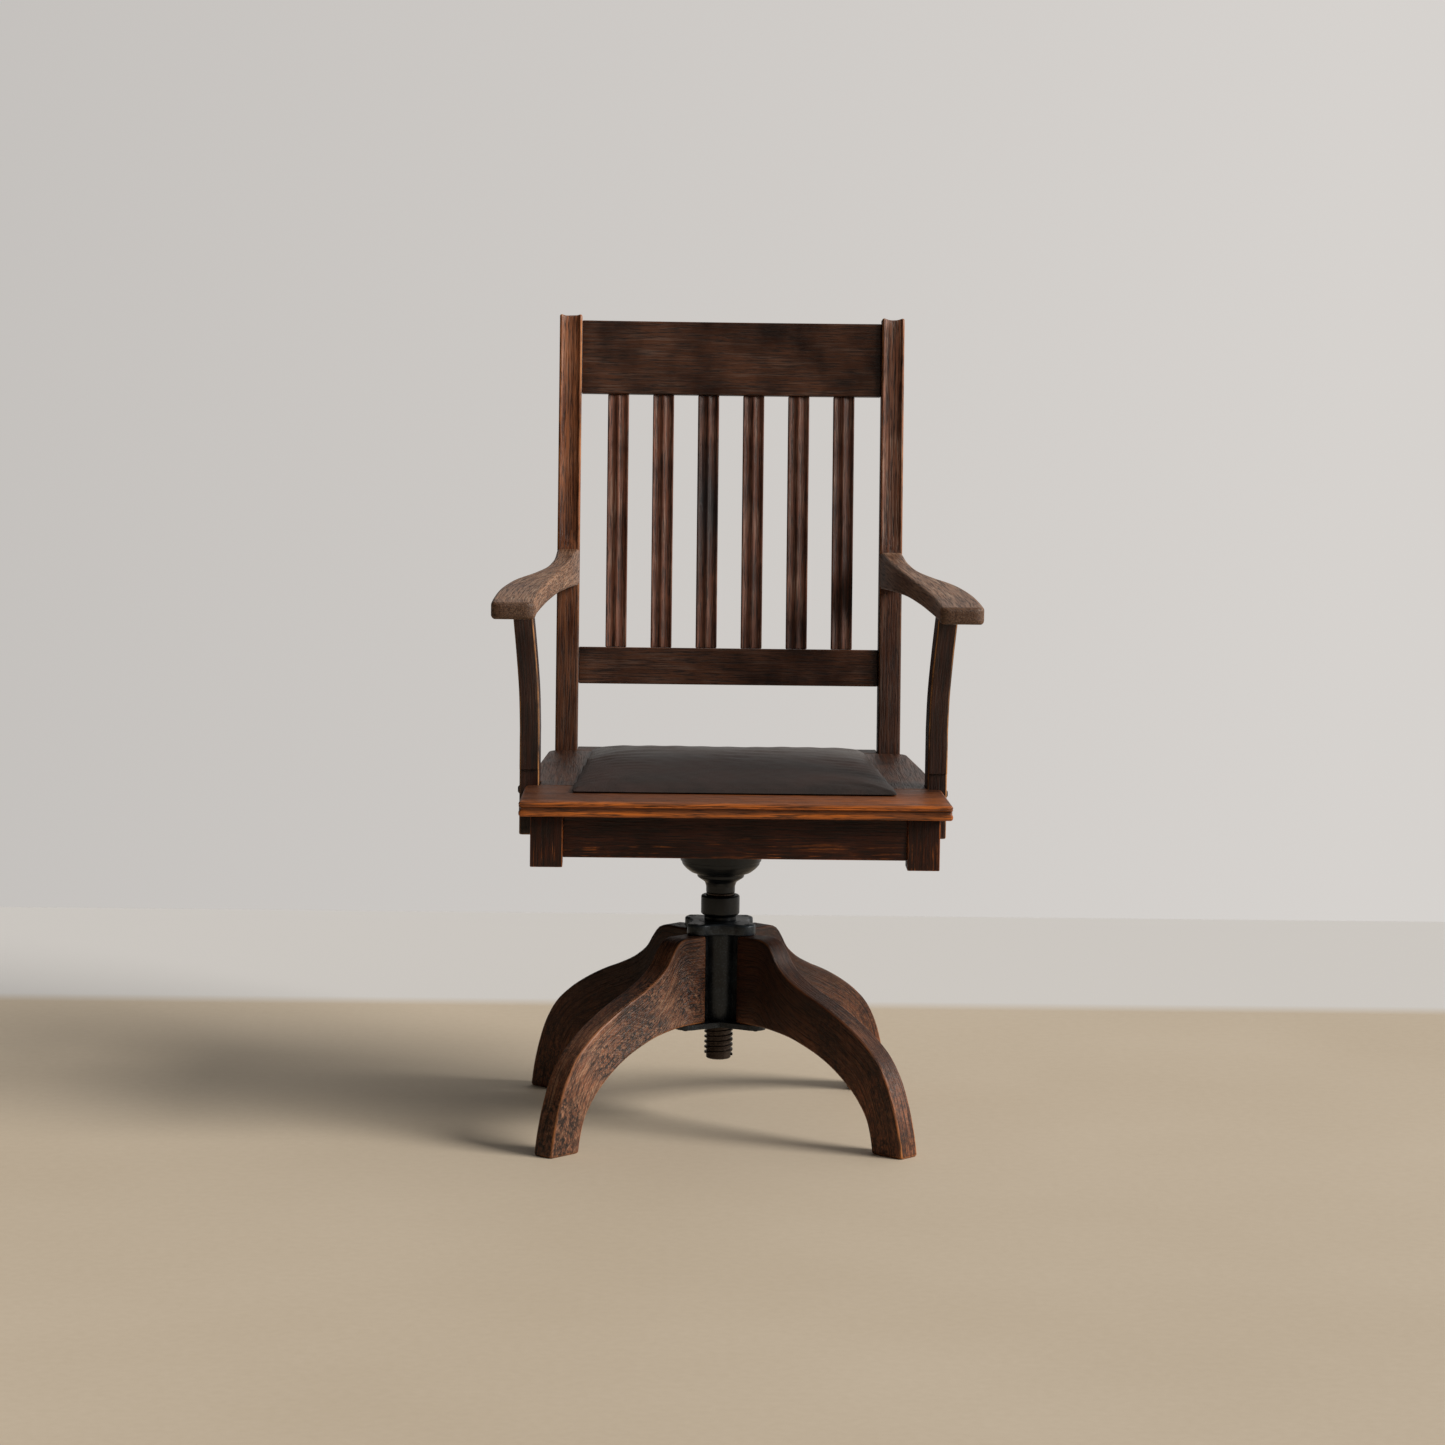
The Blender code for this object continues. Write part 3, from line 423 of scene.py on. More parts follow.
# --- Shapes ------------------------------------------------------------------------
def piece(name, points, faces, finish, body, stands_for=(),
          grain=None, wear_and_shade=None):
    """A mesh from arrays, closed and facing out, put on its CAD body."""
    mesh = bpy.data.meshes.new(name)
    mesh.from_pydata(points.tolist(), [], faces)
    builder = bmesh.new()
    builder.from_mesh(mesh)
    bmesh.ops.recalc_face_normals(builder, faces=builder.faces)
    builder.to_mesh(mesh)
    builder.free()
    mesh.shade_smooth()
    mesh.set_sharp_from_angle(angle=math.radians(38))
    if grain is not None:
        mesh.attributes.new("grain", 'FLOAT_VECTOR', 'POINT').data.foreach_set(
            "vector", np.ascontiguousarray(grain, dtype=np.float32).ravel())
    if wear_and_shade is not None:
        mesh.attributes.new("wear_and_shade", 'FLOAT', 'POINT').data.foreach_set(
            "value", np.ascontiguousarray(wear_and_shade, dtype=np.float32).ravel())
    mesh.materials.append(finish)
    item = bpy.data.objects.new(name, mesh)
    bpy.context.scene.collection.objects.link(item)
    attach(item, body)
    if stands_for:
        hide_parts(*stands_for)
    return item


def sleeve(rings, count):
    """Quads joining each closed ring of count points to the next, and both end caps."""
    here = np.arange(rings - 1)[:, None] * count + np.arange(count)
    there = np.arange(rings - 1)[:, None] * count + (np.arange(count) + 1) % count
    quads = np.stack([here, there, there + count, here + count], -1).reshape(-1, 4)
    last = (rings - 1) * count
    return [*quads.tolist(), list(range(count)), list(range(last, last + count))]


def section_walk(counts, turns):
    """Once round a rectangle with rounded corners.

    Rows are (share across, share up, outward across, outward up, wear).
    The shares place a point on the straight part of its side, and the outward pair
    times the corner radius carries it out to the surface.
    """
    corners = np.array([(0, 0), (1, 0), (1, 1), (0, 1)], float)
    normals = np.array([(0, -1), (1, 0), (0, 1), (-1, 0)], float)
    rows = []
    for k, count in enumerate(counts):
        start, stop = corners[k], corners[(k + 1) % 4]
        t = 0.5 - 0.5 * np.cos(np.pi * np.linspace(0, 1, count + 2)[1:-1])
        flat = start + (stop - start) * t[:, None]
        rows.append(np.column_stack([flat, np.tile(normals[k], (count, 1)),
                                     np.zeros(count)]))
        angle = np.linspace(0, np.pi / 2, turns + 1)[:, None]
        out = normals[k] * np.cos(angle) + normals[(k + 1) % 4] * np.sin(angle)
        rows.append(np.column_stack([np.tile(stop, (turns + 1, 1)), out,
                                     np.sin(2 * angle)]))
    return np.vstack(rows)


def eased(table, at):
    """A smooth reading of a table of (place, value) rows: cubic between them."""
    xs, ys = np.array(table, float).T
    slope = np.gradient(ys, xs)
    at = np.clip(at, xs[0], xs[-1])
    i = np.clip(np.searchsorted(xs, at) - 1, 0, len(xs) - 2)
    h = xs[i + 1] - xs[i]
    t = (at - xs[i]) / h
    return ((2 * t ** 3 - 3 * t ** 2 + 1) * ys[i] + (t ** 3 - 2 * t ** 2 + t) * h * slope[i]
            + (3 * t ** 2 - 2 * t ** 3) * ys[i + 1] + (t ** 3 - t ** 2) * h * slope[i + 1])


def board(name, corners, radius, finish, stands_for, body="seat",
          counts=(6, 6, 6, 6), step=0.012, hollow=None, seed=0.0, rub=1.0, turns=4,
          dish=0.0):
    """A four-cornered section carried along a path, its arrises eased to radius.

    corners is (stations, 4, 3), walked round each section. Point = bilinear mix of the
    four corners at (a / W, b / H), where a = radius + share (W - 2 radius) + radius out.
    Near both ends the section draws in by radius (1 - cos) over radius (1 - sin).
    hollow(distance along, share across) sinks the first face and marks it for painted shade,
    and dish the last end.
    """
    corners = np.asarray(corners, float)
    middle = corners.mean(axis=1)
    run = np.concatenate([[0], np.cumsum(np.linalg.norm(np.diff(middle, axis=0), axis=1))])
    length = run[-1]
    angle = np.linspace(0, np.pi / 2, 4)
    close = radius * (1 - np.sin(angle))[::-1]
    draw = radius * (1 - np.cos(angle))[::-1]
    inner = np.linspace(radius, length - radius, max(2, int(length / step)))
    keep = run[(run > radius * 1.5) & (run < length - radius * 1.5)]
    inner = np.unique(np.round(np.concatenate([inner[1:-1], keep]), 6))
    deep = radius + 0.0025
    at = np.concatenate([[0.0], close, inner, length - close[::-1], [length]])
    inset = np.concatenate([[deep], draw, 0 * inner, draw[::-1], [deep]])
    edges = np.stack([[np.interp(at, run, corners[:, c, k]) for k in range(3)]
                      for c in range(4)], axis=0).transpose(2, 0, 1)
    wide = np.linalg.norm(edges[:, 1] - edges[:, 0], axis=1)[:, None]
    tall = np.linalg.norm(edges[:, 3] - edges[:, 0], axis=1)[:, None]
    fa, fb, ca, cb, arris = section_walk(counts, turns).T
    a = radius + fa * (wide - 2 * radius) + radius * ca
    b = radius + fb * (tall - 2 * radius) + radius * cb
    worn_end = np.interp(np.minimum(at, length - at), [0, 0.4 * radius, radius], [0.2, 1, 0])
    wear_and_shade = np.maximum(arris, worn_end[:, None]) * (inset < deep)[:, None] * rub
    if hollow is not None:
        depth = hollow(at[:, None], a / wide) * (cb < -0.5)
        b = b + depth
        # the hollow's floor goes below 0, which the oak finish paints as shade
        wear_and_shade = np.where(depth > 0.0004, np.maximum(-1, -depth / 0.0026), wear_and_shade)
    drawn = np.minimum(inset[:, None], 0.42 * np.minimum(wide, tall))
    a = drawn + a * (1 - 2 * drawn / wide)
    b = drawn + b * (1 - 2 * drawn / tall)
    u, v = (a / wide)[..., None], (b / tall)[..., None]
    p0, p1, p2, p3 = (edges[:, None, c] for c in range(4))
    points = (1 - u) * (1 - v) * p0 + u * (1 - v) * p1 + u * v * p2 + (1 - u) * v * p3
    if dish:
        last = (middle[-1] - middle[-2]) / np.linalg.norm(middle[-1] - middle[-2])
        sink = np.clip((at[:, None] - length + 0.008) / 0.008, 0, 1) * np.clip(
            1 - ((u[..., 0] - 0.5) / 0.40) ** 2, 0, 1)
        points = points - dish * sink[..., None] * last
    grain = np.stack([at[:, None] + 0 * a + seed, a + seed * 0.37, b + seed * 0.61], -1)
    piece(name, points.reshape(-1, 3), sleeve(len(at), len(fa)), finish, body, stands_for,
          grain.reshape(-1, 3), wear_and_shade.ravel())


def walk_round(outline, spacing):
    """A closed plan outline resampled evenly along each side, its corners kept."""
    outline = np.asarray(outline, float)
    ahead = np.roll(outline, -1, axis=0)
    parts = []
    for start, stop in zip(outline, ahead):
        count = max(1, int(round(np.linalg.norm(stop - start) / spacing)))
        parts.append(start + (stop - start) * (np.arange(count) / count)[:, None])
    return np.vstack(parts)


def outward(outline):
    """Outward mitre directions of a counter-clockwise outline, right for an offset."""
    ahead = np.roll(outline, -1, axis=0) - outline
    ahead /= np.linalg.norm(ahead, axis=1)[:, None]
    normal = np.column_stack([ahead[:, 1], -ahead[:, 0]])
    before = np.roll(normal, 1, axis=0)
    spread = 1 + (normal * before).sum(axis=1)
    return (normal + before) / np.maximum(spread, 0.3)[:, None]


def eased_levels(low, high, radius, steps=4):
    """Insets and heights of an edge rounded to radius at top and bottom."""
    angle = np.linspace(0, np.pi / 2, steps + 1)
    inset = radius * (1 - np.cos(angle))
    rise = radius * (1 - np.sin(angle))
    return np.column_stack([
        np.concatenate([[radius + 0.0008], inset[::-1], inset, [radius + 0.0008]]),
        np.concatenate([[low], low + rise[::-1], high - rise, [high]])])


def plate(name, outline, levels, finish, stands_for, body="seat",
          spacing=0.006, mould=None, grain_axes=(0, 1, 2), turn=None, seed=0.0,
          bared=None):
    """A plan outline carried up through levels of (inset, height), flat at both ends.

    Point = outline - inset outward, where mould(points, heights) may add to the inset
    and bared(points) to the wear.
    """
    flat = walk_round(outline, spacing)
    area = np.sum(flat[:, 0] * np.roll(flat[:, 1], -1) - flat[:, 1] * np.roll(flat[:, 0], -1))
    if area < 0:
        flat = flat[::-1]
    out = outward(flat)
    inset, height = np.asarray(levels, float).T
    inset = inset[:, None] + np.zeros(len(flat))
    if mould is not None:
        inset = inset + mould(flat, height)
    places = flat[None] - inset[..., None] * out[None]
    points = np.dstack([places, np.broadcast_to(height[:, None], inset.shape)])
    from_end = np.minimum(height - height[0], height[-1] - height)
    soft = max(levels[1][0], 1e-4)
    wear_and_shade = np.interp(from_end, [0, 0.4 * soft, soft], [0.2, 1, 0])
    wear_and_shade[[0, -1]] = 0
    wear_and_shade = wear_and_shade[:, None] + np.zeros(len(flat))
    if bared is not None:
        wear_and_shade = np.maximum(wear_and_shade, bared(points))
    if mould is not None:
        wear_and_shade = wear_and_shade * (1 - 0.75 * np.clip(mould(flat, height) / 0.0024, 0, 1))
    grain = points[..., list(grain_axes)] + seed
    if turn is not None:
        points = points @ np.array(turn.to_3x3()).T + np.array(turn.translation)
    piece(name, points.reshape(-1, 3), sleeve(len(height), len(flat)), finish, body,
          stands_for, grain.reshape(-1, 3), wear_and_shade.ravel())


def fillet(profile, radius, steps=4):
    """An open profile with each inner corner replaced by a short quadratic curve."""
    profile = np.asarray(profile, float)
    before, at, after = profile[:-2], profile[1:-1], profile[2:]
    back = np.linalg.norm(before - at, axis=1)
    ahead = np.linalg.norm(after - at, axis=1)
    reach = np.minimum(radius, 0.45 * np.minimum(back, ahead))
    start = at + (before - at) * (reach / back)[:, None]
    stop = at + (after - at) * (reach / ahead)[:, None]
    t = np.linspace(0, 1, steps + 1)[None, :, None]
    curve = ((1 - t) ** 2 * start[:, None] + 2 * t * (1 - t) * at[:, None]
             + t ** 2 * stop[:, None])
    return np.vstack([profile[:1], curve.reshape(-1, 2), profile[-1:]])


def turning(name, profile, finish, stands_for, body, segments=72, place=None,
            soften=0.0012, closed=False):
    """A (radius, height) profile turned about Z: x = r cos, y = r sin, z = h.

    An open profile is capped flat; a closed one joins its end to its start, which
    leaves a hole down the middle.
    """
    profile = fillet(profile, soften) if soften else np.asarray(profile, float)
    angle = np.linspace(0, 2 * np.pi, segments, endpoint=False)
    radius, height = profile.T
    points = np.stack([radius[:, None] * np.cos(angle), radius[:, None] * np.sin(angle),
                       height[:, None] + 0 * angle], -1)
    faces = sleeve(len(profile), segments)
    if closed:
        last = (len(profile) - 1) * segments
        i = np.arange(segments)
        j = (i + 1) % segments
        faces = faces[:-2] + np.stack([last + i, last + j, j, i], -1).tolist()
    points = points.reshape(-1, 3)
    place = place or Matrix.Translation(AXIS)
    points = points @ np.array(place.to_3x3()).T + np.array(place.translation)
    piece(name, points, faces, finish, body, stands_for)


# --- Back --------------------------------------------------------------------------
def back_place(x, depth, up):
    """(x, depth behind the post fronts, distance up the posts) as a point."""
    x, depth, up = np.broadcast_arrays(x, depth, up)
    return np.stack([x, POST_FRONT + depth * math.cos(RAKE) + up * math.sin(RAKE),
                     SEAT_TOP + up * math.cos(RAKE) - depth * math.sin(RAKE)], -1)


def post_cove(at, across):
    """The hollow down the front of a post above the arm, between two edge beads.

    Depth = deepest (1 - t squared) ** 0.6 across the face, coming in over run_in.
    """
    start, run_in, deepest = 0.335, 0.012, 0.0026
    reach = np.clip((at - start) / run_in, 0, 1)
    t = (across - 0.5) / 0.40
    return deepest * reach * np.clip(1 - t * t, 0, 1) ** 0.6


def make_posts():
    """Each post: upright from its foot to the seat, then raked and tapering to the top."""
    top = [back_place(0, depth, POST_LENGTH) for depth in (0, POST_DEPTH[1])]
    seat = [back_place(0, depth, 0) for depth in (0, POST_DEPTH[0])]
    foot = [(*place[:2], STUB_BOTTOM) for place in seat]
    for side, name in ((-1, "left"), (1, "right")):
        xs = sorted((side * POST_X[0], side * POST_X[1]))
        rows = []
        for front, back in (foot, seat, top):
            rows.append([(xs[0], *front[1:]), (xs[1], *front[1:]), (xs[1], *back[1:]),
                         (xs[0], *back[1:])])
        board("back_post_%s_wood" % name, rows, 0.0022, POST_OAK[name],
              ["back_post_" + name],
              counts=(18, 5, 14, 5), hollow=post_cove, seed=1.7 + side, dish=0.0022)


def make_rails():
    """Crest and lower rail: flat boards bent slightly back in the middle."""
    x = np.linspace(-RAIL_HALF, RAIL_HALF, 33)
    front = RAIL_SETBACK + RAIL_BOW * (1 - (x / RAIL_HALF) ** 2)
    for k, (name, (low, high)) in enumerate((("crest_rail", CREST_RAIL),
                                             ("lower_rail", LOWER_RAIL))):
        rows = np.stack([back_place(x, front, high), back_place(x, front, low),
                         back_place(x, front + RAIL_THICKNESS, low),
                         back_place(x, front + RAIL_THICKNESS, high)], axis=1)
        board(name + "_wood", rows, 0.0014, DARK_OAK, [name], counts=(10, 4, 8, 4),
              seed=3.1 + k, rub=0.7)


def slat_flutes(at, across):
    """Two hollow flutes side by side, with a sharp arris between them."""
    t = (np.abs(across - 0.5) - 0.235) / 0.20
    return 0.0016 * np.clip(1 - t * t, 0, 1)


def make_slats():
    """Six flat slats between the rails, standing on the rails' curve."""
    for k in range(6):
        x = SLAT_PITCH * (k - 2.5)
        front = (RAIL_SETBACK + RAIL_BOW * (1 - (x / RAIL_HALF) ** 2)
                 + (RAIL_THICKNESS - SLAT_THICKNESS) / 2)
        low, high = LOWER_RAIL[1] + GAP, CREST_RAIL[0] - GAP
        half = SLAT_WIDTH / 2
        rows = [[back_place(x - half, front, up), back_place(x + half, front, up),
                 back_place(x + half, front + SLAT_THICKNESS, up),
                 back_place(x - half, front + SLAT_THICKNESS, up)] for up in (low, high)]
        board("slat_%d_wood" % (k + 1), rows, 0.0011, SLAT_OAK, ["slat_%d" % (k + 1)],
              counts=(26, 4, 4, 4), hollow=slat_flutes, seed=5.3 + 0.71 * k, rub=0.6,
              turns=3)


# --- Arms --------------------------------------------------------------------------
ARM_OUTER = [(-0.2462, 0.2800), (-0.2445, 0.2842), (-0.2400, 0.2864), (-0.1954, 0.2844),
             (-0.1084, 0.2754), (-0.0502, 0.2623), (-0.0048, 0.2453), (0.0449, 0.2305),
             (0.1156, 0.2210), (0.2184, 0.2172)]
ARM_INNER = [(-0.2462, 0.2405), (-0.2445, 0.2365), (-0.2400, 0.2345), (-0.2151, 0.2340),
             (-0.1004, 0.2243), (-0.0039, 0.2120), (0.0858, 0.2000), (0.2184, 0.1890)]
ARM_THICKNESS = [(-0.2462, 0.0200), (-0.1700, 0.0222), (-0.0744, 0.0236),
                 (0.0160, 0.0262), (0.0906, 0.0320), (0.2184, 0.0460)]


def arm_top(y):
    """Height of an arm's top: a straight slope up towards the back."""
    return ARM_TOP[0] + (ARM_TOP[1] - ARM_TOP[0]) * (y - ARM_FRONT) / (ARM_BACK - ARM_FRONT)


def arm_under(y):
    """Height of an arm's underside: its top less the thickness read from the table."""
    return arm_top(y) - np.interp(y, *np.array(ARM_THICKNESS).T)


def make_arms():
    """Each arm: plan edges and thickness read from tables along its length."""
    nose = ARM_FRONT + np.array((0, 0.0010, 0.0022, 0.0042, 0.0062))
    y = np.concatenate([nose, np.linspace(-0.235, ARM_BACK, 56)])
    for side, name in ((-1, "left"), (1, "right")):
        inner = side * np.interp(y, *np.array(ARM_INNER).T)
        outer = side * np.interp(y, *np.array(ARM_OUTER).T)
        inner[len(nose):] = side * eased(ARM_INNER[2:], y[len(nose):])
        outer[len(nose):] = side * eased(ARM_OUTER[2:], y[len(nose):])
        top, under = arm_top(y), arm_top(y) - eased(ARM_THICKNESS, y)
        lean = (top - under) * math.tan(RAKE) * np.clip((y - 0.15) / (ARM_BACK - 0.15), 0, 1)
        low_x, high_x = (inner, outer) if side > 0 else (outer, inner)
        rows = np.stack([np.column_stack([low_x, y, top]), np.column_stack([high_x, y, top]),
                         np.column_stack([high_x, y - lean, under]),
                         np.column_stack([low_x, y - lean, under])], axis=1)
        board("arm_%s_wood" % name, rows, 0.0042, ARM_OAK, ["arm_" + name],
              counts=(12, 5, 8, 5), step=0.010, seed=11.0 + side)


def side_line(x, y):
    """A line along the chair's side, closing in towards the back."""
    return x - SIDE_TAPER * (y - sum(SUPPORT_Y) / 2)


def make_supports():
    """Curved uprights lapped on the seat's side, swelling outwards under the arms."""
    flare = [(SUPPORT_BOTTOM, 0.0), (0.4950, 0.0), (0.5350, 0.0012), (0.5780, 0.0044),
             (0.6220, 0.0086), (0.6400, 0.0104)]
    z = np.concatenate([np.linspace(SUPPORT_BOTTOM, SUPPORT_SHOULDER, 8),
                        [SUPPORT_SHOULDER + 0.0008], np.linspace(0.450, 0.640, 24)])
    step = np.where(z <= SUPPORT_SHOULDER, SHOULDER_STEP, 0.0)
    for side, name in ((-1, "left"), (1, "right")):
        out = np.where(z > 0.49, eased(flare, z), 0.0)
        rows = []
        xs = (SUPPORT_X[0], SUPPORT_X[1]) if side > 0 else (SUPPORT_X[1], SUPPORT_X[0])
        for x, front in ((xs[0], True), (xs[1], True), (xs[1], False), (xs[0], False)):
            y = SUPPORT_Y[0] + step if front else SUPPORT_Y[1] + 0 * z
            high = np.minimum(z, arm_under(y) - GAP)
            rows.append(np.column_stack([side * (side_line(x, y) + out), y, high]))
        board("arm_support_%s_wood" % name, np.stack(rows, axis=1), 0.0020, SUPPORT_OAK,
              ["arm_support_" + name], counts=(5, 7, 5, 7), step=0.006, seed=8.0 + side)


# --- Seat --------------------------------------------------------------------------
def front_moulding(points, heights):
    """Extra inset of the front edge: a cove between two beads, fading round the corners."""
    t = (heights - SEAT_BOTTOM) / (SEAT_TOP - SEAT_BOTTOM)
    cove = 0.0030 * np.clip(1 - ((t - 0.50) / 0.17) ** 2, 0, 1) ** 0.7
    quirk = 0.0008 * np.clip(1 - ((t - 0.76) / 0.05) ** 2, 0, 1)
    near = np.clip((SEAT_FRONT + 0.012 - points[:, 1]) / 0.010, 0, 1)
    return (cove + quirk)[:, None] * near[None]


def front_wear(points):
    """Bare wood over the moulded edge, fading out over the first 15 mm of the top."""
    return np.clip((SEAT_FRONT + 0.015 - points[..., 1]) / 0.010, 0, 1) ** 0.7


def make_seat_boards():
    """The moulded front board with its round ears, two side boards and the rear one."""
    angle = np.radians(np.linspace(0, 90, 9))
    ear_radius = 0.0100
    ear = np.column_stack([0.2372 + ear_radius * np.cos(angle),
                           FRONT_RAIL_BACK - ear_radius + ear_radius * np.sin(angle)])
    right = np.vstack([[(0.2484, SEAT_FRONT), (0.2506, SEAT_FRONT + 0.0008),
                        (0.2514, SEAT_FRONT + 0.0030)], ear])
    outline = np.vstack([right, right[::-1] * (-1, 1)])
    levels = eased_levels(SEAT_BOTTOM, SEAT_TOP, 0.0030, 5)
    middle = np.linspace(SEAT_BOTTOM + 0.0035, SEAT_TOP - 0.0035, 18)
    half = len(levels) // 2
    levels = np.vstack([levels[:half], np.column_stack([0 * middle, middle]), levels[half:]])
    plate("seat_rail_front_wood", outline, levels, EDGE_OAK, ["seat_rail_front"],
          spacing=0.005, mould=front_moulding, seed=2.3, bared=front_wear)
    start = FRONT_RAIL_BACK + GAP
    notch = SUPPORT_X[0] - GAP
    back = SUPPORT_Y[1] + GAP
    for side, name in ((-1, "left"), (1, "right")):
        outline = np.array([(0.1650, start), (side_line(notch, start), start),
                            (side_line(notch, back), back), (0.2440, back),
                            (0.2350, 0.0400), (0.2250, 0.1720), (0.2226, 0.1800),
                            (0.2180, 0.1850), (0.2150, POST_FRONT - GAP),
                            (0.1650, POST_FRONT - GAP)]) * (side, 1)
        plate("seat_rail_%s_wood" % name, outline, eased_levels(SEAT_BOTTOM, SEAT_TOP, 0.0016),
              SEAT_OAK, ["seat_rail_" + name], grain_axes=(1, 0, 2), seed=4.0 + side)
    plate("seat_rail_rear_wood", [(-RAIL_HALF, POST_FRONT), (RAIL_HALF, POST_FRONT),
                                  (RAIL_HALF, 0.2253), (-RAIL_HALF, 0.2253)],
          eased_levels(SEAT_BOTTOM, SEAT_TOP, 0.0014), SEAT_OAK, ["seat_rail_rear"],
          seed=6.4)


def box_rows(xs, ys, zs):
    """A straight board's two end sections, its length along X and its face to the front."""
    return [[(x, ys[0], zs[1]), (x, ys[0], zs[0]), (x, ys[1], zs[0]), (x, ys[1], zs[1])]
            for x in xs]


def make_underframe():
    """Four aprons and two short front stubs under the seat, all straight boards."""
    front = STUB_Y[0] + 0.003
    rear = 0.1950
    board("apron_front_wood", box_rows((-STUB_X[0] + GAP, STUB_X[0] - GAP),
                                       (front, front + APRON_THICKNESS), APRON),
          0.0010, APRON_OAK, ["apron_front"], counts=(8, 4, 4, 4), seed=7.7)
    board("apron_rear_wood", box_rows((-RAIL_HALF, RAIL_HALF),
                                      (rear, rear + APRON_THICKNESS), APRON),
          0.0010, APRON_OAK, ["apron_rear"], seed=9.7)
    for side, name in ((-1, "left"), (1, "right")):
        ys = (STUB_Y[1] + GAP, POST_FRONT - GAP)
        rows = []
        for y in ys:
            out = side_line(SUPPORT_X[0] - 2 * GAP, y)
            rows.append([(side * out, y, APRON[1]), (side * out, y, APRON[0]),
                         (side * (out - APRON_THICKNESS), y, APRON[0]),
                         (side * (out - APRON_THICKNESS), y, APRON[1])])
        board("apron_%s_wood" % name, rows, 0.0010, APRON_OAK, ["apron_" + name],
              seed=12.0 + side)
        xs = sorted((side * STUB_X[0], side * STUB_X[1]))
        rows = [[(xs[0], STUB_Y[0], z), (xs[1], STUB_Y[0], z), (xs[1], STUB_Y[1], z),
                 (xs[0], STUB_Y[1], z)] for z in (STUB_BOTTOM, APRON[1])]
        board("front_stub_%s_wood" % name, rows, 0.0012, APRON_OAK, ["front_stub_" + name],
              counts=(6, 5, 5, 5), seed=14.0 + side)


# --- Leather pad -------------------------------------------------------------------
def make_pad():
    """A stuffed leather pad: a domed trapezoid, blown up by cloth.

    Each level is the outline drawn towards its middle by a share, at a rise above the seat.
    """
    low = SEAT_TOP + GAP
    outline = walk_round([(-0.1935, -0.2079), (0.1935, -0.2079), (0.1708, 0.1785),
                          (-0.1708, 0.1785)], 0.004)
    middle = np.array((0.0, -0.0147))
    levels = np.array([(0.60, 0.0), (0.985, 0.0), (0.997, 0.0006), (1.0, 0.0016),
                       (0.996, 0.0026), (0.980, 0.0048), (0.955, 0.0070), (0.930, 0.0082),
                       (0.895, 0.0090), (0.800, 0.0101), (0.560, 0.0117), (0.300, 0.0124)])
    share, rise = levels.T
    places = middle + share[:, None, None] * (outline - middle)
    points = np.dstack([places, np.broadcast_to(low + rise[:, None], places.shape[:2])])
    pad = piece("leather_pad", points.reshape(-1, 3), sleeve(len(share), len(outline)),
                HIDE, "seat", ["leather_cushion"])
    blow_up(pad, low)


def blow_up(pad, floor, voxel=0.0045, cap=0.0026, pressure=4.0, stiffness=12.0):
    """Cloth pressure swells the pad; points on the seat stay, and none moves past cap.

    Fine puckers, worked out as products of sines, then run up to the sides and the back.
    """
    remesh = pad.modifiers.new("even_mesh", 'REMESH')
    remesh.mode = 'VOXEL'
    remesh.voxel_size = voxel
    bpy.context.view_layer.objects.active = pad
    pad.select_set(True)
    bpy.ops.object.modifier_apply(modifier=remesh.name)
    count = len(pad.data.vertices)
    rest = np.empty(count * 3)
    pad.data.vertices.foreach_get("co", rest)
    rest = rest.reshape(-1, 3)
    held = pad.vertex_groups.new(name="held")
    held.add(np.flatnonzero(rest[:, 2] < floor + 0.0022).tolist(), 1.0, 'REPLACE')
    cloth = pad.modifiers.new("stuffing", 'CLOTH')
    cloth.settings.use_pressure = True
    cloth.settings.uniform_pressure_force = pressure
    cloth.settings.vertex_group_mass = "held"
    cloth.settings.tension_stiffness = stiffness
    cloth.settings.compression_stiffness = stiffness
    cloth.settings.bending_stiffness = 0.6
    cloth.settings.effector_weights.gravity = 0.0
    for step in range(1, 21):
        bpy.context.scene.frame_set(step)
    bpy.ops.object.modifier_apply(modifier=cloth.name)
    blown = np.empty(count * 3)
    pad.data.vertices.foreach_get("co", blown)
    move = blown.reshape(-1, 3) - rest
    size = np.linalg.norm(move, axis=1)[:, None]
    move *= cap / (cap + size)
    settled = rest + move
    x, y, z = settled.T
    edge = np.clip((z - floor - 0.004) / 0.006, 0, 1)
    sides = np.clip((np.abs(x) - 0.09) / 0.07, 0, 1)
    puckers = (0.0010 * sides * np.sin(y * 230 + 40 * x * x + 1.5 * np.sin(x * 60))
               * np.cos(x * 24 + y * 13) ** 2
               + 0.0006 * np.clip((y + 0.05) / 0.15, 0, 1) * np.cos(x * 21 - y * 9) ** 2
               * np.sin(y * 190 + 9 * x + 3 * np.sin(x * 17))
               + 0.0003 * np.sin(x * 190 + 5 * np.sin(y * 31)) * np.sin(y * 90) ** 2)
    settled[:, 2] = np.maximum(z + puckers * edge, floor)
    pad.data.vertices.foreach_set("co", settled.ravel())
    pad.data.update()
    smooth = pad.modifiers.new("skin", 'SUBSURF')
    smooth.levels = smooth.render_levels = 1
    pad.data.shade_smooth()
    bpy.context.scene.frame_set(1)


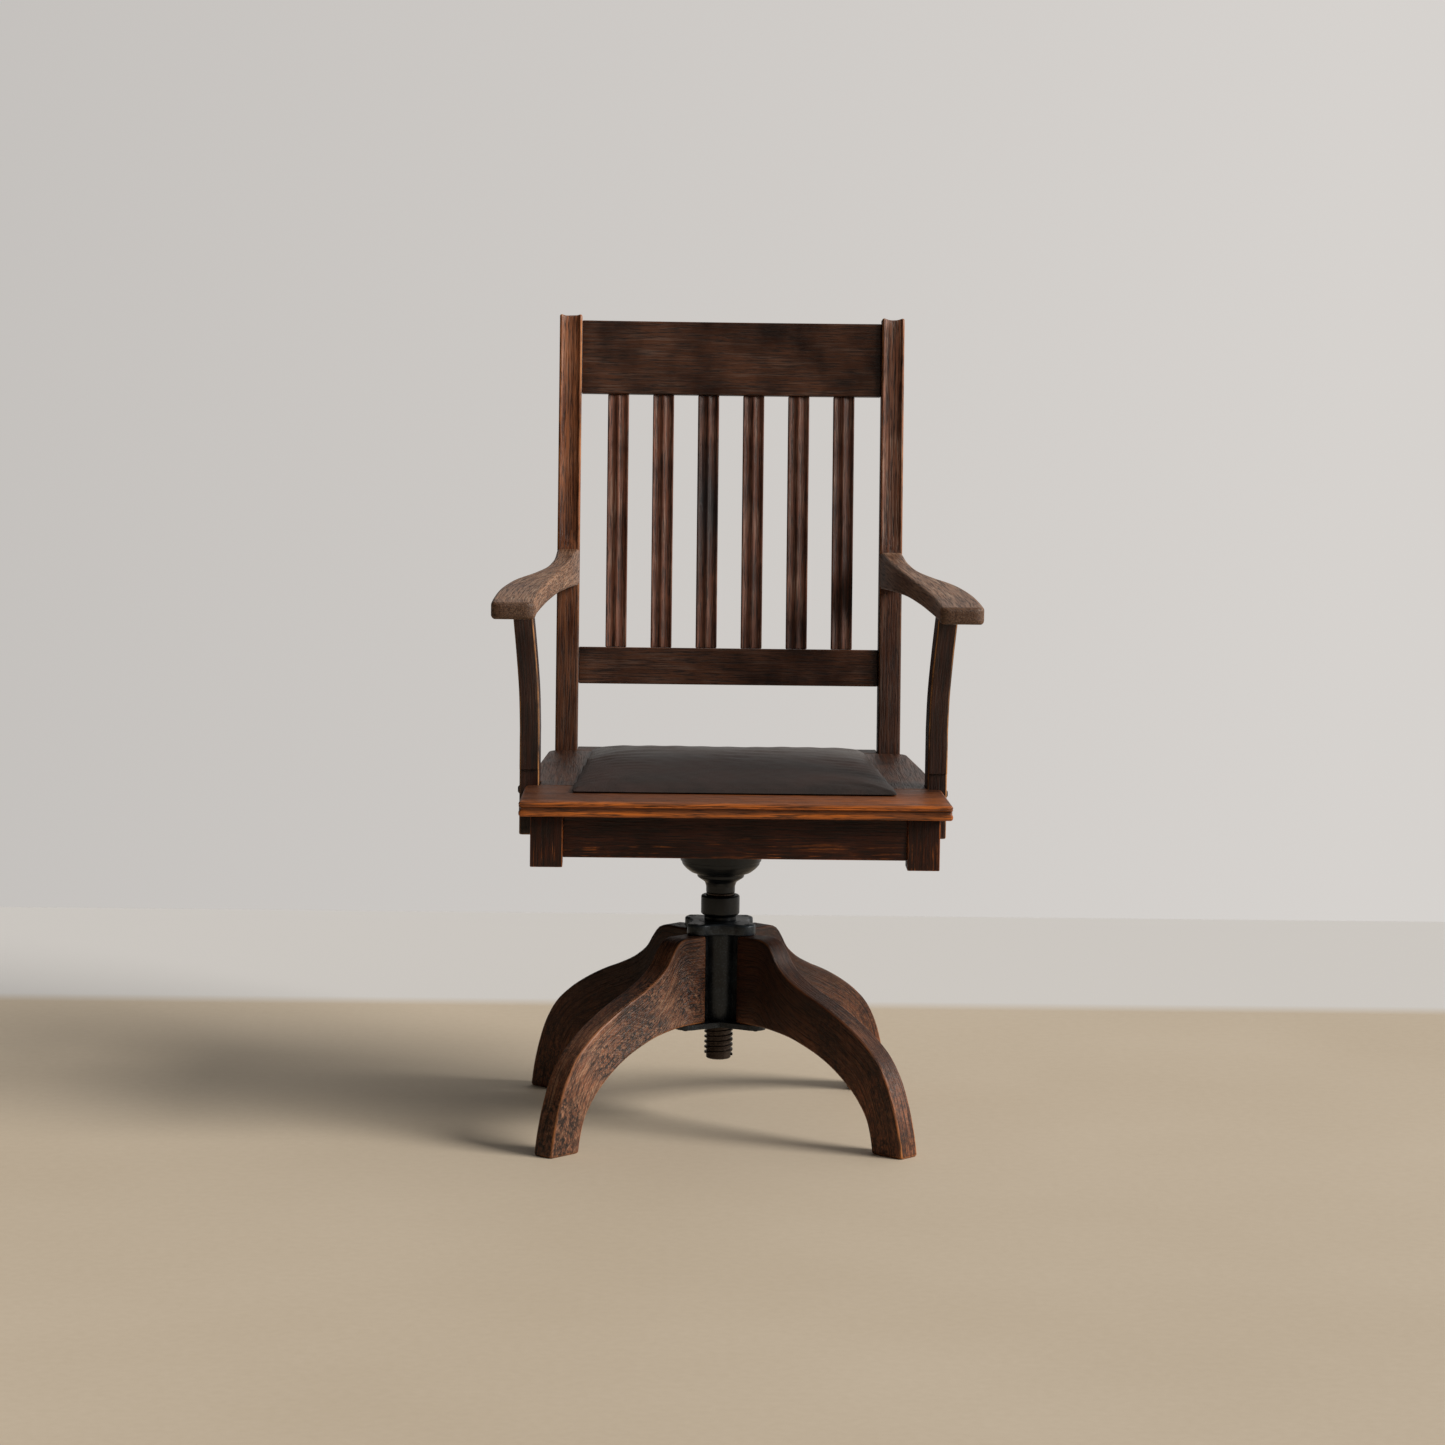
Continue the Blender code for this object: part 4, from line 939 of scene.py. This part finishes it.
# --- Iron --------------------------------------------------------------------------
def make_iron():
    """The bell under the seat, with four flat arms screwed up into the battens."""
    profile = [(JOURNAL + GAP, IRON_BOTTOM), (0.0175, IRON_BOTTOM), (0.0175, 0.2890),
               (0.0194, 0.2947), (0.0285, 0.3007), (0.0285, 0.3042), (0.0365, 0.3067),
               (0.0427, 0.3115), (0.0470, 0.3164), (0.0476, 0.3205), (0.0490, 0.3206),
               (0.0540, 0.3740), (0.0540, 0.3800), (JOURNAL + GAP, 0.3800)]
    turning("seat_iron_bell", profile, TURNED_IRON_PAINTED_SHADE, ["seat_iron"], "seat",
            closed=True, soften=0.0016)
    half_width, low, high = 0.014, 0.3735, 0.3845
    for k, name in enumerate(CORNERS):
        angle = math.radians(45 + 90 * k)
        along = np.array((math.cos(angle), math.sin(angle), 0))
        over = np.array((-math.sin(angle), math.cos(angle), 0)) * half_width
        rows = []
        for reach in (0.030, 0.150):
            at = AXIS + along * reach
            rows.append([at + over + (0, 0, low), at - over + (0, 0, low),
                         at - over + (0, 0, high), at + over + (0, 0, high)])
        board("seat_iron_arm_" + name, rows, 0.0020, CAST_IRON, [])


def make_screw():
    """A square thread: the radius follows a trapezium once in each pitch of climb.

    A column of profile points stands at every step of angle and climbs the helix;
    each turn's last point joins the next turn's first, and flat discs close the ends.
    """
    segments = 48
    turns = int((SHOULDER - SPINDLE_BOTTOM - 0.004) / PITCH) - 1
    radius = np.array([ROOT, ROOT, CREST - 0.0003, CREST, CREST, CREST - 0.0003, ROOT])
    part = np.array([0.0, 0.10, 0.17, 0.22, 0.50, 0.55, 0.62])
    count = len(part)
    steps = np.arange(segments * turns + 1)
    angle = 2 * np.pi * (steps % segments) / segments
    height = SPINDLE_BOTTOM + 0.002 + PITCH * (steps[:, None] / segments + part)
    # a flat is planed down the back of the thread, for the guide screw to run along
    out = np.minimum(radius * np.sin(angle)[:, None], ROOT + 0.0004)
    thread = np.stack([radius * np.cos(angle)[:, None], out, height], -1).reshape(-1, 3)
    last = segments * turns
    i = np.arange(last)[:, None]
    row = np.arange(count - 1)
    strips = np.stack([count * i + row, count * (i + 1) + row, count * (i + 1) + row + 1,
                       count * i + row + 1], -1).reshape(-1, 4)
    i = np.arange(last - segments)
    seams = np.stack([count * i + count - 1, count * (i + 1) + count - 1,
                      count * (i + 1 + segments), count * (i + segments)], -1)
    faces = [*strips.tolist(), *seams.tolist(), list(range(count)),
             list(range(count * last, count * last + count))]
    around = 2 * np.pi * np.arange(segments) / segments

    def circle(size, level):
        return np.column_stack([size * np.cos(around), size * np.sin(around),
                                np.full(segments, level)])

    rings = [circle(ROOT - 0.0016, SPINDLE_BOTTOM), circle(ROOT, SPINDLE_BOTTOM + 0.0012),
             circle(ROOT, SHOULDER), circle(JOURNAL, SHOULDER), circle(JOURNAL, JOURNAL_TOP)]
    start = [len(thread) + segments * k for k in range(5)]
    j = np.arange(segments - 1)
    low, top = start[1], start[2]
    first = last - segments
    faces += np.stack([low + j, low + j + 1, count * (j + 1), count * j], -1).tolist()
    faces.append([low + segments - 1, low, 0, *range(1, count), count * segments,
                  count * (segments - 1)])
    faces.append(list(range(start[0], start[0] + segments)))
    ahead = (np.arange(segments) + 1) % segments
    here = np.arange(segments)
    for lower, upper in ((0, 1), (2, 3), (3, 4)):
        faces += np.stack([start[lower] + here, start[lower] + ahead, start[upper] + ahead,
                           start[upper] + here], -1).tolist()
    j = np.arange(1, segments)
    faces += np.stack([count * (first + j) + count - 1, count * (first + j + 1) + count - 1,
                       top + (j + 1) % segments, top + j], -1).tolist()
    faces.append([count * first + count - 1, count * (first + 1) + count - 1, top + 1, top,
                  *range(count * last + count - 1, count * last - 1, -1)])
    faces.append(list(range(start[4], start[4] + segments)))
    points = np.vstack([thread, *rings]) + AXIS
    piece("screw_spindle_thread", points, faces, DARK_STEEL, "spindle", ["screw_spindle"])


def make_bolt_heads():
    """Low round bolt heads let almost flush into the top plate, each over its shank."""
    head, shank, rim = 0.0050, 0.0022, 0.2471
    profile = [(shank, 0.2030), (shank, 0.2420), (head, 0.2440), (head, rim),
               (0.0042, 0.2476), (0.0015, 0.2477), (0.0001, rim)]
    for k, name in enumerate(CORNERS):
        turn = BASE_YAW + math.radians(45 + 90 * k)
        out = LEG_BOLT_RADIUS * np.array((math.cos(turn), math.sin(turn), 0))
        turning("leg_bolt_%s_head" % name, profile, CAST_IRON, ["leg_bolt_" + name],
                "base", segments=28, place=Matrix.Translation(AXIS + out),
                soften=0.0004)


def lobed_outline(lobe_centre, waist):
    """A plate with a round lobe over each leg: arcs of one radius joined by waists."""
    angle = np.radians(np.linspace(-90, 90, 17))
    lobe = np.column_stack([lobe_centre + LOBE_RADIUS * np.cos(angle),
                            LOBE_RADIUS * np.sin(angle)])
    pinch = np.radians(-45)
    part = np.vstack([[(waist * math.cos(pinch), waist * math.sin(pinch))], lobe])
    parts = []
    for k in range(4):
        turn = math.radians(45 + 90 * k)
        spin = np.array([(math.cos(turn), math.sin(turn)), (-math.sin(turn), math.cos(turn))])
        parts.append(part @ spin)
    return np.vstack(parts)


def leg_edges():
    """Upper and under edge of a leg, as (radius, height) at equal shares of length."""
    top = np.array([(LEG_START, LEG_TOP), (0.0600, LEG_TOP), (0.0780, 0.2335),
                    (0.0880, 0.2300), (0.0975, 0.2195), (0.1070, 0.2055),
                    (0.1250, 0.1910), (0.1500, 0.1785), (0.1800, 0.1665),
                    (0.2100, 0.1520), (0.2400, 0.1335), (0.2620, 0.1150),
                    (0.2800, 0.0890), (0.2920, 0.0600), (0.3010, 0.0280), (0.3060, 0.0)])
    under = np.array([(LEG_START, 0.1271), (0.0600, 0.1272), (0.0790, 0.1272),
                      (0.1050, 0.1245), (0.1280, 0.1203), (0.1500, 0.1135),
                      (0.1700, 0.1060), (0.2033, 0.0875), (0.2310, 0.0645),
                      (0.2494, 0.0388), (0.2560, 0.0173), (0.2590, 0.0)])
    edges = []
    for curve in (top, under):
        run = np.concatenate([[0], np.cumsum(np.linalg.norm(np.diff(curve, axis=0), axis=1))])
        at = np.linspace(0, run[-1], 64)
        edges.append(np.column_stack([eased(np.column_stack([run, curve[:, k]]), at)
                                      for k in (0, 1)]))
    return edges


def make_base():
    """Four legs round the hub with a web behind each, the hub's tube and plate, the nut."""
    yaw = Matrix.Translation(AXIS) @ Matrix.Rotation(BASE_YAW, 4, 'Z')
    top, under = leg_edges()
    half = LEG_THICKNESS / 2
    web_half, web_low, web_high = 0.005, 0.1271, 0.2360
    for k, name in enumerate(CORNERS):
        turn = BASE_YAW + math.radians(45 + 90 * k)
        along = np.array((math.cos(turn), math.sin(turn), 0))
        over = np.array((-math.sin(turn), math.cos(turn), 0)) * half
        rise = np.array((0, 0, 1.0))
        upper = AXIS + top[:, :1] * along + top[:, 1:] * rise
        lower = AXIS + under[:, :1] * along + under[:, 1:] * rise
        rows = np.stack([upper + over, upper - over, lower - over, lower + over], axis=1)
        board("leg_%s_wood" % name, rows, 0.0030,
              LEG_OAK.get(name, LEG_OAK["other"]), ["leg_" + name],
              body="base", counts=(7, 14, 7, 14), step=0.006, seed=20.0 + k)
        spin = yaw @ Matrix.Rotation(math.radians(45 + 90 * k), 4, 'Z')
        web = [[(x, -web_half, web_high), (x, web_half, web_high), (x, web_half, web_low),
                (x, -web_half, web_low)] for x in (0.0200, 0.0400)]
        web = np.array(web) @ np.array(spin.to_3x3()).T + AXIS
        board("hub_web_" + name, web, 0.0008, CAST_IRON, [], body="base")
    plate("hub_top_plate", lobed_outline(TOP_LOBE_CENTRE, TOP_LOBE_WAIST),
          eased_levels(LEG_TOP + GAP, HUB_TOP - GAP, 0.0026), CAST_IRON, [],
          body="base", spacing=0.004, turn=yaw)
    turning("hub_tube", [(HUB_BORE, HUB_BOTTOM), (0.0235, HUB_BOTTOM), (0.0262, 0.150),
                         (0.0278, 0.2310), (0.0262, HUB_TOP), (HUB_BORE, HUB_TOP)],
            CAST_IRON, ["hub"], "base", closed=True)
    turning("adjusting_nut_collar",
            [(HUB_BORE, 0.2478), (0.0193, 0.2478), (0.0193, 0.2530), (0.0234, 0.2560),
             (0.0234, 0.2770), (0.0220, NUT_TOP), (HUB_BORE, NUT_TOP)], TURNED_IRON_PAINTED_SHADE,
            ["adjusting_nut"], "nut", closed=True)


make_posts()
make_rails()
make_slats()
make_arms()
make_supports()
make_seat_boards()
make_underframe()
make_pad()
make_iron()
make_screw()
make_bolt_heads()
make_base()


# --- CAD pieces that stay ------------------------------------------------------------
def kept_finish(name):
    """The finish of a piece that is shown as its CAD node."""
    if "screw" in name or name == "thrust_washer":
        return DARK_STEEL
    return CAST_IRON if name == "lower_leg_plate" else UNSEEN_OAK


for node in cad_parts.values():
    if not node.hide_render:
        node.data.materials.clear()
        node.data.materials.append(kept_finish(node.name))
